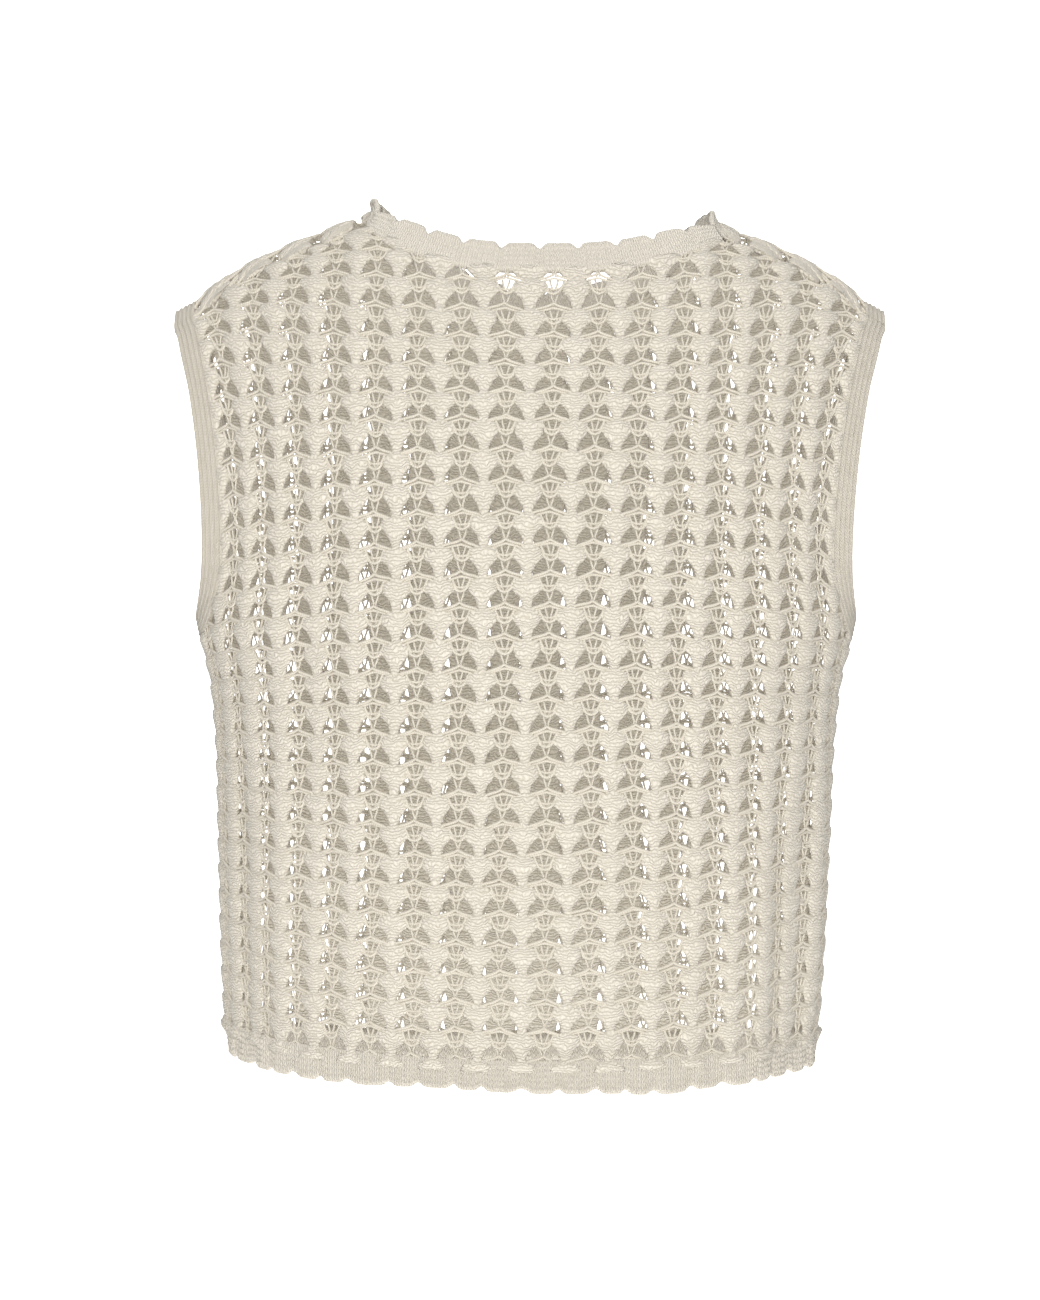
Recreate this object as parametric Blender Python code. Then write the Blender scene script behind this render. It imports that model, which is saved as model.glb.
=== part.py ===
"""A sleeveless openwork pullover, held open as it is worn.

Metres, +Z up. The back of the garment faces -Y and the front faces +Y.
The origin lies at the base of the neck, on the line of the shoulders.
Every piece is a knitted wall: a back and a front panel, a scalloped
neckband, two armhole bands and a scalloped hem band.
"""
import math

import bmesh
import bpy
import numpy as np

# Walls and seams
KNIT = 0.0024            # thickness of the openwork panels
BAND = 0.0030            # thickness of the bands
SEAM = 0.0004            # gap between two pieces
ARM_SEAM = 0.0010        # gap where the armhole bands turn away from their edge
RIB = 0.0014             # how far a solid knit column stands out of the panel
HOLLOW = 0.0004          # how far an openwork column sinks

# Knit columns are counted from the centre line, with solid ones at whole numbers
COLUMN = 0.0238          # width of one repeat at the chest
SIDE = 9.5               # the side seam, in columns
ARM = 8.0                # the armhole edge, in columns
STEP = 0.25              # one mesh line for each quarter column
PULL_POWER = 5           # how sharply a side's stretch grows towards the seam
EDGE_PULL = -0.0069      # how far the armhole edge is drawn in

# Heights
SHOULDER_TURN = 0.20     # drop over which the shoulder rounds into the back
UNDERARM = -0.232        # side seam, under the arm
ARM_TURN = -0.190        # where the armhole edge turns towards the side seam
HEM_SEAM = -0.4597       # centre of the hem seam
HEM_DEPTH = 0.0175       # hem band, from its seam to the tips of its scallops
HEM_RISE = 0.015         # how far the hem climbs at the side seams
HEM_TILT = 0.003         # and how far it hangs lower to the right
LEAN = 0.0115            # sideways lean of the hanging garment
LEAN_FROM = -0.137       # height at which it leans to neither side
TOP_LEVEL = -0.050       # where the columns have taken their shoulder places
RIDGE_SHARE = 0.06       # share of the shoulder's turn that is divided by distance

# The worn shape: height, half width, depth of the back, depth of the front
LEVELS = np.array([
    (-0.490, 0.1595, 0.1120, 0.1080),
    (-0.440, 0.1638, 0.1130, 0.1100),
    (-0.400, 0.1660, 0.1140, 0.1120),
    (-0.340, 0.1682, 0.1160, 0.1150),
    (-0.280, 0.1708, 0.1180, 0.1190),
    (-0.250, 0.1745, 0.1190, 0.1210),
    (-0.232, 0.1792, 0.1195, 0.1220),
    (-0.200, 0.1857, 0.1200, 0.1220),
    (-0.168, 0.1928, 0.1195, 0.1210),
    (-0.123, 0.2013, 0.1180, 0.1180),
    (-0.078, 0.2090, 0.1160, 0.1160),
    (-0.040, 0.2148, 0.1150, 0.1150),
    (0.020, 0.2220, 0.1150, 0.1150),
])
# The top line of the shoulders: distance from the centre, height
RIDGE = np.array([
    (0.000, 0.0085),
    (0.060, 0.0070),
    (0.090, 0.0040),
    (0.111, -0.0044),
    (0.133, -0.0130),
    (0.156, -0.0236),
    (0.178, -0.0378),
    (0.189, -0.0480),
    (0.200, -0.0612),
    (0.215, -0.0820),
])
# Soft folds: column, width in columns, height of the middle, half length, depth
BACK_FOLDS = np.array([
    (-5.1, 0.55, -0.275, 0.110, -0.0026),
    (6.9, 0.80, -0.400, 0.090, -0.0030),
    (8.2, 0.60, -0.370, 0.080, 0.0026),
    (-7.3, 0.70, -0.390, 0.090, -0.0026),
    (5.4, 0.70, -0.430, 0.055, 0.0022),
])
FRONT_FOLDS = np.array([
    (-6.6, 0.70, -0.300, 0.100, -0.0026),
    (5.6, 0.60, -0.280, 0.090, -0.0024),
    (7.9, 0.70, -0.390, 0.080, 0.0024),
    (-4.2, 0.80, -0.420, 0.060, 0.0020),
])

# Shoulder tops and neck
TIP = 0.1860             # armhole end of the shoulder seam, from the centre
TOP_SPREAD = 0.96        # columns stand a little wider near the neck
SEAM_DROP = 0.0090       # the shoulder seam lies behind the top line
NECK_SHIFT = 0.0075      # the neckline sits a little to one side
NECK_HALF = 0.0960
BACK_NECK = -0.0290      # lowest point of the back neck seam
BACK_NECK_POWER = 2.8
FRONT_NECK = 0.1350      # length of the neck edge's drop, over the shoulder
FRONT_NECK_POWER = 2.2
NECKBAND_WIDTH = 0.0160
NECKBAND_RISE = (1.9, -0.6)    # its slope at the centres, and the change at the sides
NECKBAND_TUCK = 0.35     # share of its width that is rolled under on the shoulders
NECK_SCALLOPS = 26
NECK_SCALLOP_SHARE = 0.2
ARMBAND_WIDTH = 0.0125
ARMBAND_SPREAD = (0.2, 0.8)    # how it points sideways under the arm, and the rest above
ARMBAND_SPLAY = -0.30    # how far it turns in towards the arm at mid height
ARMBAND_LIFT = (-0.55, -0.09, 0.04)    # downward turn on the shoulder, where from, how soon
HEM_FLATTENING = 1.6     # sideways share of the hem band's outward direction
HEM_SCALLOPS = 48
SCALLOP_DEPTH = 0.0028
SAMPLES_PER_SCALLOP = 4

# Mesh lines up a panel
LOWER_ROWS = 9
UPPER_ROWS = 8
NECK_LINES = (0.90, 0.965, 0.99, 0.998, 1.0)
UNDERARM_LINES = (8.04, 8.12)  # extra lines where the armhole edge turns fast
LINE_SPACING = 0.07      # least distance between two mesh lines, in columns
SHARP_ANGLE = 50
FINE = 400               # samples along a curve before it is divided evenly

CREAM = (0.73, 0.68, 0.58, 1.0)
BACK, FRONT = -1, 1


def smooth_table(x, xs, ys):
    """Read a short table with a cubic curve through its rows."""
    slopes = np.gradient(ys, xs)
    x = np.clip(x, xs[0], xs[-1])
    i = np.clip(np.searchsorted(xs, x) - 1, 0, len(xs) - 2)
    h = xs[i + 1] - xs[i]
    t = (x - xs[i]) / h
    blend = 3 * t ** 2 - 2 * t ** 3
    bend = t * (1 - t)
    middle = ys[i] * (1 - blend) + ys[i + 1] * blend
    return middle + h * bend * (slopes[i] * (1 - t) - slopes[i + 1] * t)


def half_width(z):
    return smooth_table(z, LEVELS[:, 0], LEVELS[:, 1])


def depth(side, z):
    return smooth_table(z, LEVELS[:, 0], LEVELS[:, 2 if side == BACK else 3])


def ridge(x):
    return smooth_table(np.abs(x), RIDGE[:, 0], RIDGE[:, 1])


def lean(z):
    return LEAN * (z - LEAN_FROM)


def shoulder_round(drop):
    """Share of the full depth that is reached at a drop below the ridge."""
    return np.sqrt(1 - np.clip(1 - drop / SHOULDER_TURN, 0, 1) ** 2)


def depth_at(side, x, z):
    """Distance in Y from the middle plane to the cloth, at a place on it."""
    across = np.sqrt(np.clip(1 - (x / half_width(z)) ** 2, 0, 1))
    return depth(side, z) * across * shoulder_round(ridge(x) - z)


def hem_line(column):
    """Height of the hem seam, which climbs towards the side seams."""
    return HEM_SEAM + HEM_RISE * (column / SIDE) ** 2 - HEM_TILT * column / SIDE


def ring_quarter(side, z):
    """Quarter of a level's section, from the centre to the side: x and length."""
    angle = np.linspace(0, math.pi / 2, FINE)
    x = half_width(z) * np.sin(angle)
    y = depth(side, z) * np.cos(angle) * shoulder_round(ridge(x) - z)
    length = np.concatenate([[0], np.cumsum(np.hypot(np.diff(x), np.diff(y)))])
    return angle, x, length


def ring_angle(side, column, z):
    """Angle round a level's section at which a knit column stands."""
    angle, x, length = ring_quarter(side, z)
    full = (length[-1] - SIDE * COLUMN) * (ARM / SIDE) ** PULL_POWER
    open_share = np.clip((z - UNDERARM) / (ARM_TURN - UNDERARM), 0, 1)
    pull = full + (EDGE_PULL - full) * open_share
    size = abs(column)
    reach = COLUMN * size + pull * (size / ARM) ** PULL_POWER
    return math.copysign(np.interp(reach, length, angle), column)


def fold_height(folds, column, z):
    """How far the soft folds move the cloth outwards."""
    height = 0.0
    for place, width, middle, half_length, size in folds:
        across = math.exp(-((column - place) / width) ** 2)
        along = math.exp(-((z - middle) / half_length) ** 4)
        height += size * across * along
    return height


def below_turn(side, column, z):
    """A point of the cloth below the armhole's turn, where levels are closed rings."""
    angle = ring_angle(side, column, z)
    x = half_width(z) * math.sin(angle)
    y = depth(side, z) * math.cos(angle) * shoulder_round(ridge(x) - z)
    return np.array([x, side * y, z])


def turn_x(side, column):
    return below_turn(side, column, ARM_TURN)[0]


def top_x(column):
    return math.copysign(TIP * (abs(column) / ARM) ** TOP_SPREAD, column)


def upper_path(side, column):
    """The line of one column from the armhole's turn up over the shoulder."""
    low, high = turn_x(side, column), top_x(column)
    top = float(ridge(np.array(high)))
    z = np.linspace(ARM_TURN, top - SHOULDER_TURN * RIDGE_SHARE, FINE)
    share = (z - ARM_TURN) / (TOP_LEVEL - ARM_TURN)
    x = low + (high - low) * np.clip(share, 0, 1) ** 2
    rise = np.stack([x, side * depth_at(side, x, z), z], axis=1)
    drop = SHOULDER_TURN * RIDGE_SHARE * (1 - np.linspace(0, 1, FINE) ** 2)
    over = np.stack([np.full(FINE, high), np.zeros(FINE), top - drop], axis=1)
    over[:, 1] = side * depth_at(side, over[:, 0], over[:, 2])
    path = np.concatenate([rise[:-1], over])
    if side == FRONT:
        drop = SEAM_DROP * np.linspace(0, 1, FINE) ** 2
        behind = np.stack([np.full(FINE, high), np.zeros(FINE), top - drop], axis=1)
        behind[:, 1] = -depth_at(BACK, behind[:, 0], behind[:, 2])
        return np.concatenate([path, behind[1:]])
    return path[path[:, 2] <= top - SEAM_DROP - SEAM]


def lengths(path):
    steps = np.linalg.norm(np.diff(path, axis=0), axis=1)
    return np.concatenate([[0], np.cumsum(steps)])


def spread(path, shares):
    """Points at even shares of a path's length."""
    run = lengths(path)
    return np.stack([np.interp(np.array(shares) * run[-1], run, path[:, k]) for k in range(3)], axis=1)


def neck_offset(column):
    """Distance from the middle of the neck, as a share of its half width."""
    return (top_x(column) - NECK_SHIFT) / NECK_HALF


def trimmed(side, column):
    """A column's upper path, cut off at the neck edge where it meets it."""
    path = upper_path(side, column)
    offset = abs(neck_offset(column))
    if offset >= 1:
        return path
    if side == BACK:
        corner_x = NECK_SHIFT + math.copysign(NECK_HALF, neck_offset(column))
        corner = float(ridge(np.array(corner_x))) - SEAM_DROP - SEAM
        edge = BACK_NECK + (corner - BACK_NECK) * offset ** BACK_NECK_POWER
        return path[path[:, 2] <= edge]
    run = lengths(path)
    cut = FRONT_NECK * (1 - offset ** FRONT_NECK_POWER) ** (1 / FRONT_NECK_POWER)
    return path[run <= run[-1] - cut]


def underarm_line(column):
    """Height of the armhole edge where it runs round under the arm."""
    share = (SIDE - abs(column)) / (SIDE - ARM)
    return ARM_TURN - (ARM_TURN - UNDERARM) * math.sqrt(max(0.0, 1 - share ** 2))


def lower_path(side, column):
    top = ARM_TURN if abs(column) <= ARM else underarm_line(column)
    z = np.linspace(hem_line(column), top, LOWER_ROWS + 1)
    return np.array([below_turn(side, column, level) for level in z])


def mesh_columns():
    """Mesh lines across a panel: quarter columns, and more where an edge turns fast."""
    regular = np.arange(-SIDE, SIDE + STEP / 2, STEP)
    extra = [way * line for line in UNDERARM_LINES for way in (-1, 1)]
    for share in NECK_LINES:
        for way in (-1, 1):
            x = NECK_SHIFT + way * share * NECK_HALF
            extra.append(math.copysign(ARM * (abs(x) / TIP) ** (1 / TOP_SPREAD), x))
    keep = [c for c in regular if min(abs(c - e) for e in extra) > LINE_SPACING or abs(c) == ARM]
    return np.array(sorted(keep + extra))


def rib_height(columns, rows):
    """Solid columns stand out, and every edge of a panel lies flat."""
    wave = 0.5 + 0.5 * np.cos(2 * math.pi * columns)
    relief = -HOLLOW + (RIB + HOLLOW) * wave
    edge_rows = np.ones(rows)
    edge_rows[0] = 0
    edge_rows[-1] = 0
    flat_side = np.clip((SIDE - np.abs(columns)) / 0.5, 0, 1)
    return relief[None, :] * edge_rows[:, None] * flat_side[None, :]


def grid_normals(grid, side):
    """Unit normals of a grid of points, outwards from the body."""
    up = np.gradient(grid, axis=0)
    across = np.gradient(grid, axis=1)
    normal = np.cross(across, up) * -side
    return normal / np.linalg.norm(normal, axis=2, keepdims=True)


def panel_grid(side, folds):
    """Plain surface of a panel: points by row and column, and the quads it keeps."""
    columns = mesh_columns()
    rows = LOWER_ROWS + UPPER_ROWS + 1
    grid = np.zeros((rows, len(columns), 3))
    for j, column in enumerate(columns):
        grid[:LOWER_ROWS + 1, j] = lower_path(side, column)
        inner = math.copysign(min(abs(column), ARM), column)
        path = trimmed(side, inner)
        shares = np.linspace(0, 1, UPPER_ROWS + 1)[1:]
        if abs(column) <= ARM:
            grid[LOWER_ROWS + 1:, j] = spread(path, shares)
        else:
            grid[LOWER_ROWS + 1:, j] = grid[LOWER_ROWS, j] + np.outer(shares, (0, 0, 0.02))
    grid[:, :, 0] += lean(grid[:, :, 2])
    keep = np.ones((rows - 1, len(columns) - 1), bool)
    centre = np.abs((columns[1:] + columns[:-1]) / 2)
    keep[LOWER_ROWS:, centre > ARM] = False
    moves = np.array([[fold_height(folds, c, p[2]) for c, p in zip(columns, row)] for row in grid])
    moves[:, np.abs(columns) >= SIDE] = 0
    grid = grid + grid_normals(grid, side) * moves[:, :, None]
    return grid, keep, columns


def wall(inner, outer, keep):
    """Vertices and faces of a closed wall between two grids of the same layout."""
    rows, cols = inner.shape[:2]
    count = rows * cols

    def corner(i, j):
        return i * cols + j % cols

    faces, edges = [], {}
    for i, j in np.argwhere(keep):
        quad = [corner(i, j), corner(i, j + 1), corner(i + 1, j + 1), corner(i + 1, j)]
        faces.append([v + count for v in quad])
        faces.append(quad[::-1])
        for a, b in zip(quad, quad[1:] + quad[:1]):
            if (b, a) in edges:
                del edges[(b, a)]
            else:
                edges[(a, b)] = True
    for a, b in edges:
        faces.append([a, b, b + count, a + count])
    points = np.concatenate([inner.reshape(-1, 3), outer.reshape(-1, 3)])
    return points, faces


def make_piece(name, points, faces, material, collection):
    """A named object from points and faces, with loose points removed."""
    mesh = bpy.data.meshes.new(name)
    mesh.from_pydata(points.tolist(), [], faces)
    shape = bmesh.new()
    shape.from_mesh(mesh)
    loose = [v for v in shape.verts if not v.link_faces]
    bmesh.ops.delete(shape, geom=loose, context="VERTS")
    bmesh.ops.recalc_face_normals(shape, faces=shape.faces)
    shape.to_mesh(mesh)
    shape.free()
    mesh.shade_smooth()
    mesh.set_sharp_from_angle(angle=math.radians(SHARP_ANGLE))
    mesh.materials.append(material)
    piece = bpy.data.objects.new(name, mesh)
    collection.objects.link(piece)
    return piece


def knit_material(name, colour):
    material = bpy.data.materials.new(name)
    material.use_nodes = True
    shader = material.node_tree.nodes["Principled BSDF"]
    shader.inputs["Base Color"].default_value = colour
    shader.inputs["Roughness"].default_value = 0.9
    shader.inputs["Metallic"].default_value = 0.0
    return material


def build_panel(name, side, folds, collection):
    """One openwork panel: a plain inside and an outside raised along the solid columns."""
    grid, keep, columns = panel_grid(side, folds)
    normals = grid_normals(grid, side)
    relief = rib_height(columns, grid.shape[0])
    relief[LOWER_ROWS, np.abs(columns) >= ARM] = 0
    inner = grid.copy()
    near_side = np.abs(columns) >= SIDE
    inner[:, near_side, 1] += side * SEAM / 2
    outer = inner + normals * (KNIT + relief)[:, :, None]
    outer[:, near_side, 1] = side * SEAM / 2
    points, faces = wall(inner, outer, keep)
    make_piece(name, points, faces, knit_material(name, CREAM), collection)
    return inner, outer, columns


def band_from(edge_inner, edge_outer, way, gap, width, heights, name, collection):
    """A band round an edge: rings of the edge's wall, carried along a direction."""
    shares = np.linspace(0, 1, 3)
    start = edge_outer + way * gap
    across = edge_outer - edge_inner
    across /= np.linalg.norm(across, axis=1, keepdims=True)
    along = np.roll(edge_outer, -1, axis=0) - np.roll(edge_outer, 1, axis=0)
    through = np.cross(along, way)
    through /= np.linalg.norm(through, axis=1, keepdims=True)
    through *= np.sign(np.sum(through * across, axis=1, keepdims=True))
    outer = np.array([start + way * (width * heights * s)[:, None] for s in shares])
    inner = outer - through[None, :, :] * BAND
    inner[0] = edge_inner + way * gap
    keep = np.ones((len(shares) - 1, len(edge_inner)), bool)
    points, faces = wall(inner, outer, keep)
    make_piece(name, points, faces, knit_material(name, CREAM), collection)


def unit(vectors):
    return vectors / np.linalg.norm(vectors, axis=-1, keepdims=True)


def neck_edge(inner, outer, columns):
    """The top row of a panel between the two ends of its neck edge."""
    offsets = np.array([neck_offset(c) for c in columns])
    on_neck = np.abs(offsets) <= 1.0001
    return inner[-1, on_neck], outer[-1, on_neck]


def build_neckband(back, front, collection):
    """The scalloped band that stands round the neck."""
    back_in, back_out = neck_edge(*back)
    front_in, front_out = neck_edge(*front)
    edge_in = np.concatenate([back_in, front_in[::-1][1:-1]])
    edge_out = np.concatenate([back_out, front_out[::-1][1:-1]])
    centre = np.array([NECK_SHIFT, 0.0, 0.0])
    inwards = centre - edge_out
    inwards[:, 2] = 0
    side_share = np.clip(np.abs(edge_out[:, 0] - NECK_SHIFT) / NECK_HALF, 0, 1)
    way = unit(inwards)
    way[:, 2] = NECKBAND_RISE[0] + NECKBAND_RISE[1] * side_share ** 4
    way = unit(way)
    run = lengths(np.concatenate([edge_out, edge_out[:1]]))[:-1]
    total = run[-1] + np.linalg.norm(edge_out[0] - edge_out[-1])
    phase = run / total * NECK_SCALLOPS
    dip = np.abs(np.cos(math.pi * phase)) ** 6
    heights = (1 - NECK_SCALLOP_SHARE * dip) * (1 - NECKBAND_TUCK * side_share ** 8)
    band_from(edge_in, edge_out, way, SEAM, NECKBAND_WIDTH, heights, "neckband", collection)


def arm_edge(inner, outer, columns, sign):
    """One panel's armhole edge, from the shoulder down to the side seam."""
    at = int(np.argmin(np.abs(columns - sign * ARM)))
    beyond = [j for j, c in enumerate(columns) if c * sign > ARM]
    beyond.sort(key=lambda j: columns[j] * sign)
    rows = range(inner.shape[0] - 1, LOWER_ROWS - 1, -1)
    places = [(i, at) for i in rows] + [(LOWER_ROWS, j) for j in beyond]
    return (np.array([inner[i, j] for i, j in places]), np.array([outer[i, j] for i, j in places]))


def build_armband(name, back, front, sign, collection):
    """The plain band round an armhole, turned a little outwards."""
    back_in, back_out = arm_edge(*back, sign)
    front_in, front_out = arm_edge(*front, sign)
    edge_in = np.concatenate([back_in[:-1], front_in[::-1][:-1]])
    edge_out = np.concatenate([back_out[:-1], front_out[::-1][:-1]])
    height = np.clip((edge_out[:, 2] - UNDERARM) / (ARM_TURN - UNDERARM), 0, 1)
    turn, turn_from, turn_size = ARMBAND_LIFT
    high = np.clip((edge_out[:, 2] - turn_from) / turn_size, 0, 1)
    sideways = ARMBAND_SPREAD[0] + ARMBAND_SPREAD[1] * height
    upwards = (1 - height) ** 0.5 + turn * high
    inwards = ARMBAND_SPLAY * np.sign(edge_out[:, 1]) * height * (1 - high)
    way = np.stack([sign * sideways, inwards, upwards], axis=1)
    even = np.ones(len(way))
    band_from(edge_in, edge_out, unit(way), ARM_SEAM, ARMBAND_WIDTH, even, name, collection)


def hem_point(angle_share, drop):
    """A point of the hem band: a share of the way round, and a drop below the seam."""
    quarter = angle_share * 4
    side = BACK if quarter < 2 else FRONT
    column = (quarter - 1) * SIDE if side == BACK else (3 - quarter) * SIDE
    seam = hem_line(column)
    point = below_turn(side, column, seam)
    folds = BACK_FOLDS if side == BACK else FRONT_FOLDS
    move = fold_height(folds, column, seam) if abs(column) < SIDE else 0.0
    outwards = unit(np.array([point[0] / HEM_FLATTENING, point[1], 0.0]))
    outer = point + outwards * (KNIT + move)
    outer[2] -= drop
    outer[0] += lean(outer[2])
    return outer, outer - outwards * BAND


def build_hem(collection):
    """The scalloped band round the hem, one ring under both panels."""
    around = HEM_SCALLOPS * SAMPLES_PER_SCALLOP
    outer = np.zeros((3, around, 3))
    inner = np.zeros((3, around, 3))
    for j in range(around):
        phase = j / SAMPLES_PER_SCALLOP
        tip = HEM_DEPTH - SCALLOP_DEPTH * abs(math.cos(math.pi * phase)) ** 4
        for i, share in enumerate((0.0, 0.5, 1.0)):
            drop = SEAM + share * (tip - SEAM)
            outer[i, j], inner[i, j] = hem_point(j / around, drop)
    keep = np.ones((2, around), bool)
    points, faces = wall(inner, outer, keep)
    make_piece("hem_band", points, faces, knit_material("hem_band", CREAM), collection)


def main():
    for item in list(bpy.data.objects):
        bpy.data.objects.remove(item)
    collection = bpy.data.collections.new("openwork_pullover")
    bpy.context.scene.collection.children.link(collection)
    back = build_panel("back_panel", BACK, BACK_FOLDS, collection)
    front = build_panel("front_panel", FRONT, FRONT_FOLDS, collection)
    build_neckband(back, front, collection)
    build_armband("armhole_band_left", back, front, -1, collection)
    build_armband("armhole_band_right", back, front, 1, collection)
    build_hem(collection)


main()
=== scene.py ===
# %% [markdown]
# # A sleeveless openwork pullover
# The object is a cream cotton vest, knitted in an openwork stitch and held open as it is worn.
# Its real pieces are a back, a front, a neckband, two armhole bands and a hem band.
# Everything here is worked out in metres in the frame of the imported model: +Z is up, and the
# back of the garment faces -Y, towards the camera. Left and right are those of the picture.

# %% Load the frame
import math
import bmesh
import bpy
import numpy as np
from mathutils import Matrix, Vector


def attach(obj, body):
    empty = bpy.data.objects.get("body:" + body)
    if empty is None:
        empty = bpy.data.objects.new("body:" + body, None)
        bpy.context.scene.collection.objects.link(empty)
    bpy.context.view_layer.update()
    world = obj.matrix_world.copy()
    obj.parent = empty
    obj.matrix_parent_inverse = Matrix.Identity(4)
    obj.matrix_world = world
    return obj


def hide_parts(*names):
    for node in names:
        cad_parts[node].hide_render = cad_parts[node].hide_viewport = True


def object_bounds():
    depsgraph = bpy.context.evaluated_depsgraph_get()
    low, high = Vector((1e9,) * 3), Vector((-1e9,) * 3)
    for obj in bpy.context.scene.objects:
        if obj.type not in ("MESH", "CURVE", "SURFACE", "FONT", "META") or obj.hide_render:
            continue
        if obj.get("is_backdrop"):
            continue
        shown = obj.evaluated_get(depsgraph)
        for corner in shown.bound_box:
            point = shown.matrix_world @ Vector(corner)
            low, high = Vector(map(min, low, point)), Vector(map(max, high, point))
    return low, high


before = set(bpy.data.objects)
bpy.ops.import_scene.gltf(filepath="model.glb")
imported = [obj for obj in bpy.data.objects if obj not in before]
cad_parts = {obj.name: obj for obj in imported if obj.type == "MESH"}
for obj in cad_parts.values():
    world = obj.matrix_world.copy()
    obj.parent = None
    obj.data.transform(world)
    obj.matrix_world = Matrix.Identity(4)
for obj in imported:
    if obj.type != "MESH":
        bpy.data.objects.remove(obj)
cad_box = [list(map(float, corner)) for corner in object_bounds()]
BACK, FRONT = -1, 1
print("nodes", sorted(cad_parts), "box", cad_box)

# %% [markdown]
# ## The camera
# The picture shows the back, straight on, from far away: a long lens 3.2 m off, level with
# the middle of the back. One pixel of the 1040 by 1300 picture is 0.56 mm at the shoulders.

# %% Camera
PIXEL = 0.00056
VIEW_DISTANCE = 3.2
VIEW_CENTRE = (-0.0045, -0.238)
camera = bpy.data.objects.new("camera", bpy.data.cameras.new("camera"))
camera.data.sensor_fit = "VERTICAL"
camera.data.sensor_height = 24.0
camera.data.lens = 24.0 * VIEW_DISTANCE / (1300 * PIXEL)
camera.location = (VIEW_CENTRE[0], -VIEW_DISTANCE, VIEW_CENTRE[1])
camera.rotation_euler = (math.pi / 2, 0.0, 0.0)
bpy.context.scene.collection.objects.link(camera)
bpy.context.scene.camera = camera
print("lens", round(camera.data.lens, 1), "mm")

# %% [markdown]
# ## The worn shape
# A knitted garment could be draped by simulation, but its shape is set by the body it fits,
# so it is lofted here: an ellipse for each height, rounded over the shoulders. Knit columns
# are counted from the centre line and keep their width round the body; rows are counted up
# from the hem seam. One unit of (column, row) is one repeat of the openwork stitch.

# %% Sizes of the worn shape
COLUMN = 0.0238
ROW = 0.01669
SIDE, ARM = 9.5, 8.0
PULL_POWER, EDGE_PULL = 5, -0.0069
SHOULDER_TURN = 0.20
UNDERARM, ARM_TURN, TOP_LEVEL = -0.232, -0.190, -0.05
HEM_SEAM, HEM_RISE, HEM_TILT = -0.4597, 0.015, 0.003
LEAN, LEAN_FROM = 0.0115, -0.137
TIP, TOP_SPREAD, SEAM_DROP = 0.186, 0.96, 0.009
NECK_SHIFT, NECK_HALF = 0.0075, 0.096
BACK_NECK, BACK_NECK_POWER = -0.0290, 2.8
FRONT_NECK, FRONT_NECK_POWER = 0.135, 2.2
# height, half width, depth of the back, depth of the front
LEVELS = np.array([
    (-0.490, 0.1595, 0.1120, 0.1080),
    (-0.440, 0.1638, 0.1130, 0.1100),
    (-0.400, 0.1660, 0.1140, 0.1120),
    (-0.340, 0.1682, 0.1160, 0.1150),
    (-0.280, 0.1708, 0.1180, 0.1190),
    (-0.250, 0.1745, 0.1190, 0.1210),
    (-0.232, 0.1792, 0.1195, 0.1220),
    (-0.200, 0.1857, 0.1200, 0.1220),
    (-0.168, 0.1928, 0.1195, 0.1210),
    (-0.123, 0.2013, 0.1180, 0.1180),
    (-0.078, 0.2090, 0.1160, 0.1160),
    (-0.040, 0.2148, 0.1150, 0.1150),
    (0.020, 0.2220, 0.1150, 0.1150),
])
# distance from the centre, height of the shoulder's top line
RIDGE = np.array([
    (0.000, 0.0085),
    (0.060, 0.0070),
    (0.090, 0.0040),
    (0.111, -0.0044),
    (0.133, -0.0130),
    (0.156, -0.0236),
    (0.178, -0.0378),
    (0.189, -0.0480),
    (0.200, -0.0612),
    (0.215, -0.0820),
])
# row, how far that row climbs at the side seams, how far it drops to the right
ROW_CURVE = np.array([
    (-1.0, HEM_RISE, HEM_TILT),
    (0.0, HEM_RISE, HEM_TILT),
    (8.0, 0.0030, 0.0010),
    (17.0, -0.0080, 0.0),
    (21.0, 0.0080, 0.0),
    (25.0, 0.0300, 0.0),
    (32.0, 0.0300, 0.0),
])
# column, width in columns, height of the middle, half length, depth
FOLDS = {
    BACK: [(-5.1, 0.55, -0.275, 0.110, -0.0026), (6.9, 0.80, -0.400, 0.090, -0.0030),
           (8.2, 0.60, -0.370, 0.080, 0.0026), (-7.3, 0.70, -0.390, 0.090, -0.0026),
           (5.4, 0.70, -0.430, 0.055, 0.0022)],
    FRONT: [(-6.6, 0.70, -0.300, 0.100, -0.0026), (5.6, 0.60, -0.280, 0.090, -0.0024),
            (7.9, 0.70, -0.390, 0.080, 0.0024), (-4.2, 0.80, -0.420, 0.060, 0.0020)],
}


def smooth_table(x, table, column=1):
    """A cubic curve through a table's rows, read at x."""
    xs, ys = table[:, 0], table[:, column]
    slopes = np.gradient(ys, xs)
    x = np.clip(x, xs[0], xs[-1])
    i = np.clip(np.searchsorted(xs, x) - 1, 0, len(xs) - 2)
    h = xs[i + 1] - xs[i]
    t = (x - xs[i]) / h
    blend = 3 * t ** 2 - 2 * t ** 3
    middle = ys[i] * (1 - blend) + ys[i + 1] * blend
    return middle + h * t * (1 - t) * (slopes[i] * (1 - t) - slopes[i + 1] * t)


def half_width(z):
    return smooth_table(z, LEVELS, 1)


def depth(side, z):
    return smooth_table(z, LEVELS, 2 if side == BACK else 3)


def ridge(x):
    return smooth_table(np.abs(x), RIDGE)


def shoulder_round(drop):
    """A quarter circle: the share of the full depth reached at a drop below the ridge."""
    return np.sqrt(1 - np.clip(1 - drop / SHOULDER_TURN, 0, 1) ** 2)


def depth_at(side, x, z):
    """Ellipse across, quarter circle down: distance of the cloth from the middle plane."""
    across = np.sqrt(np.clip(1 - (x / half_width(z)) ** 2, 0, 1))
    return depth(side, z) * across * shoulder_round(ridge(x) - z)


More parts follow.
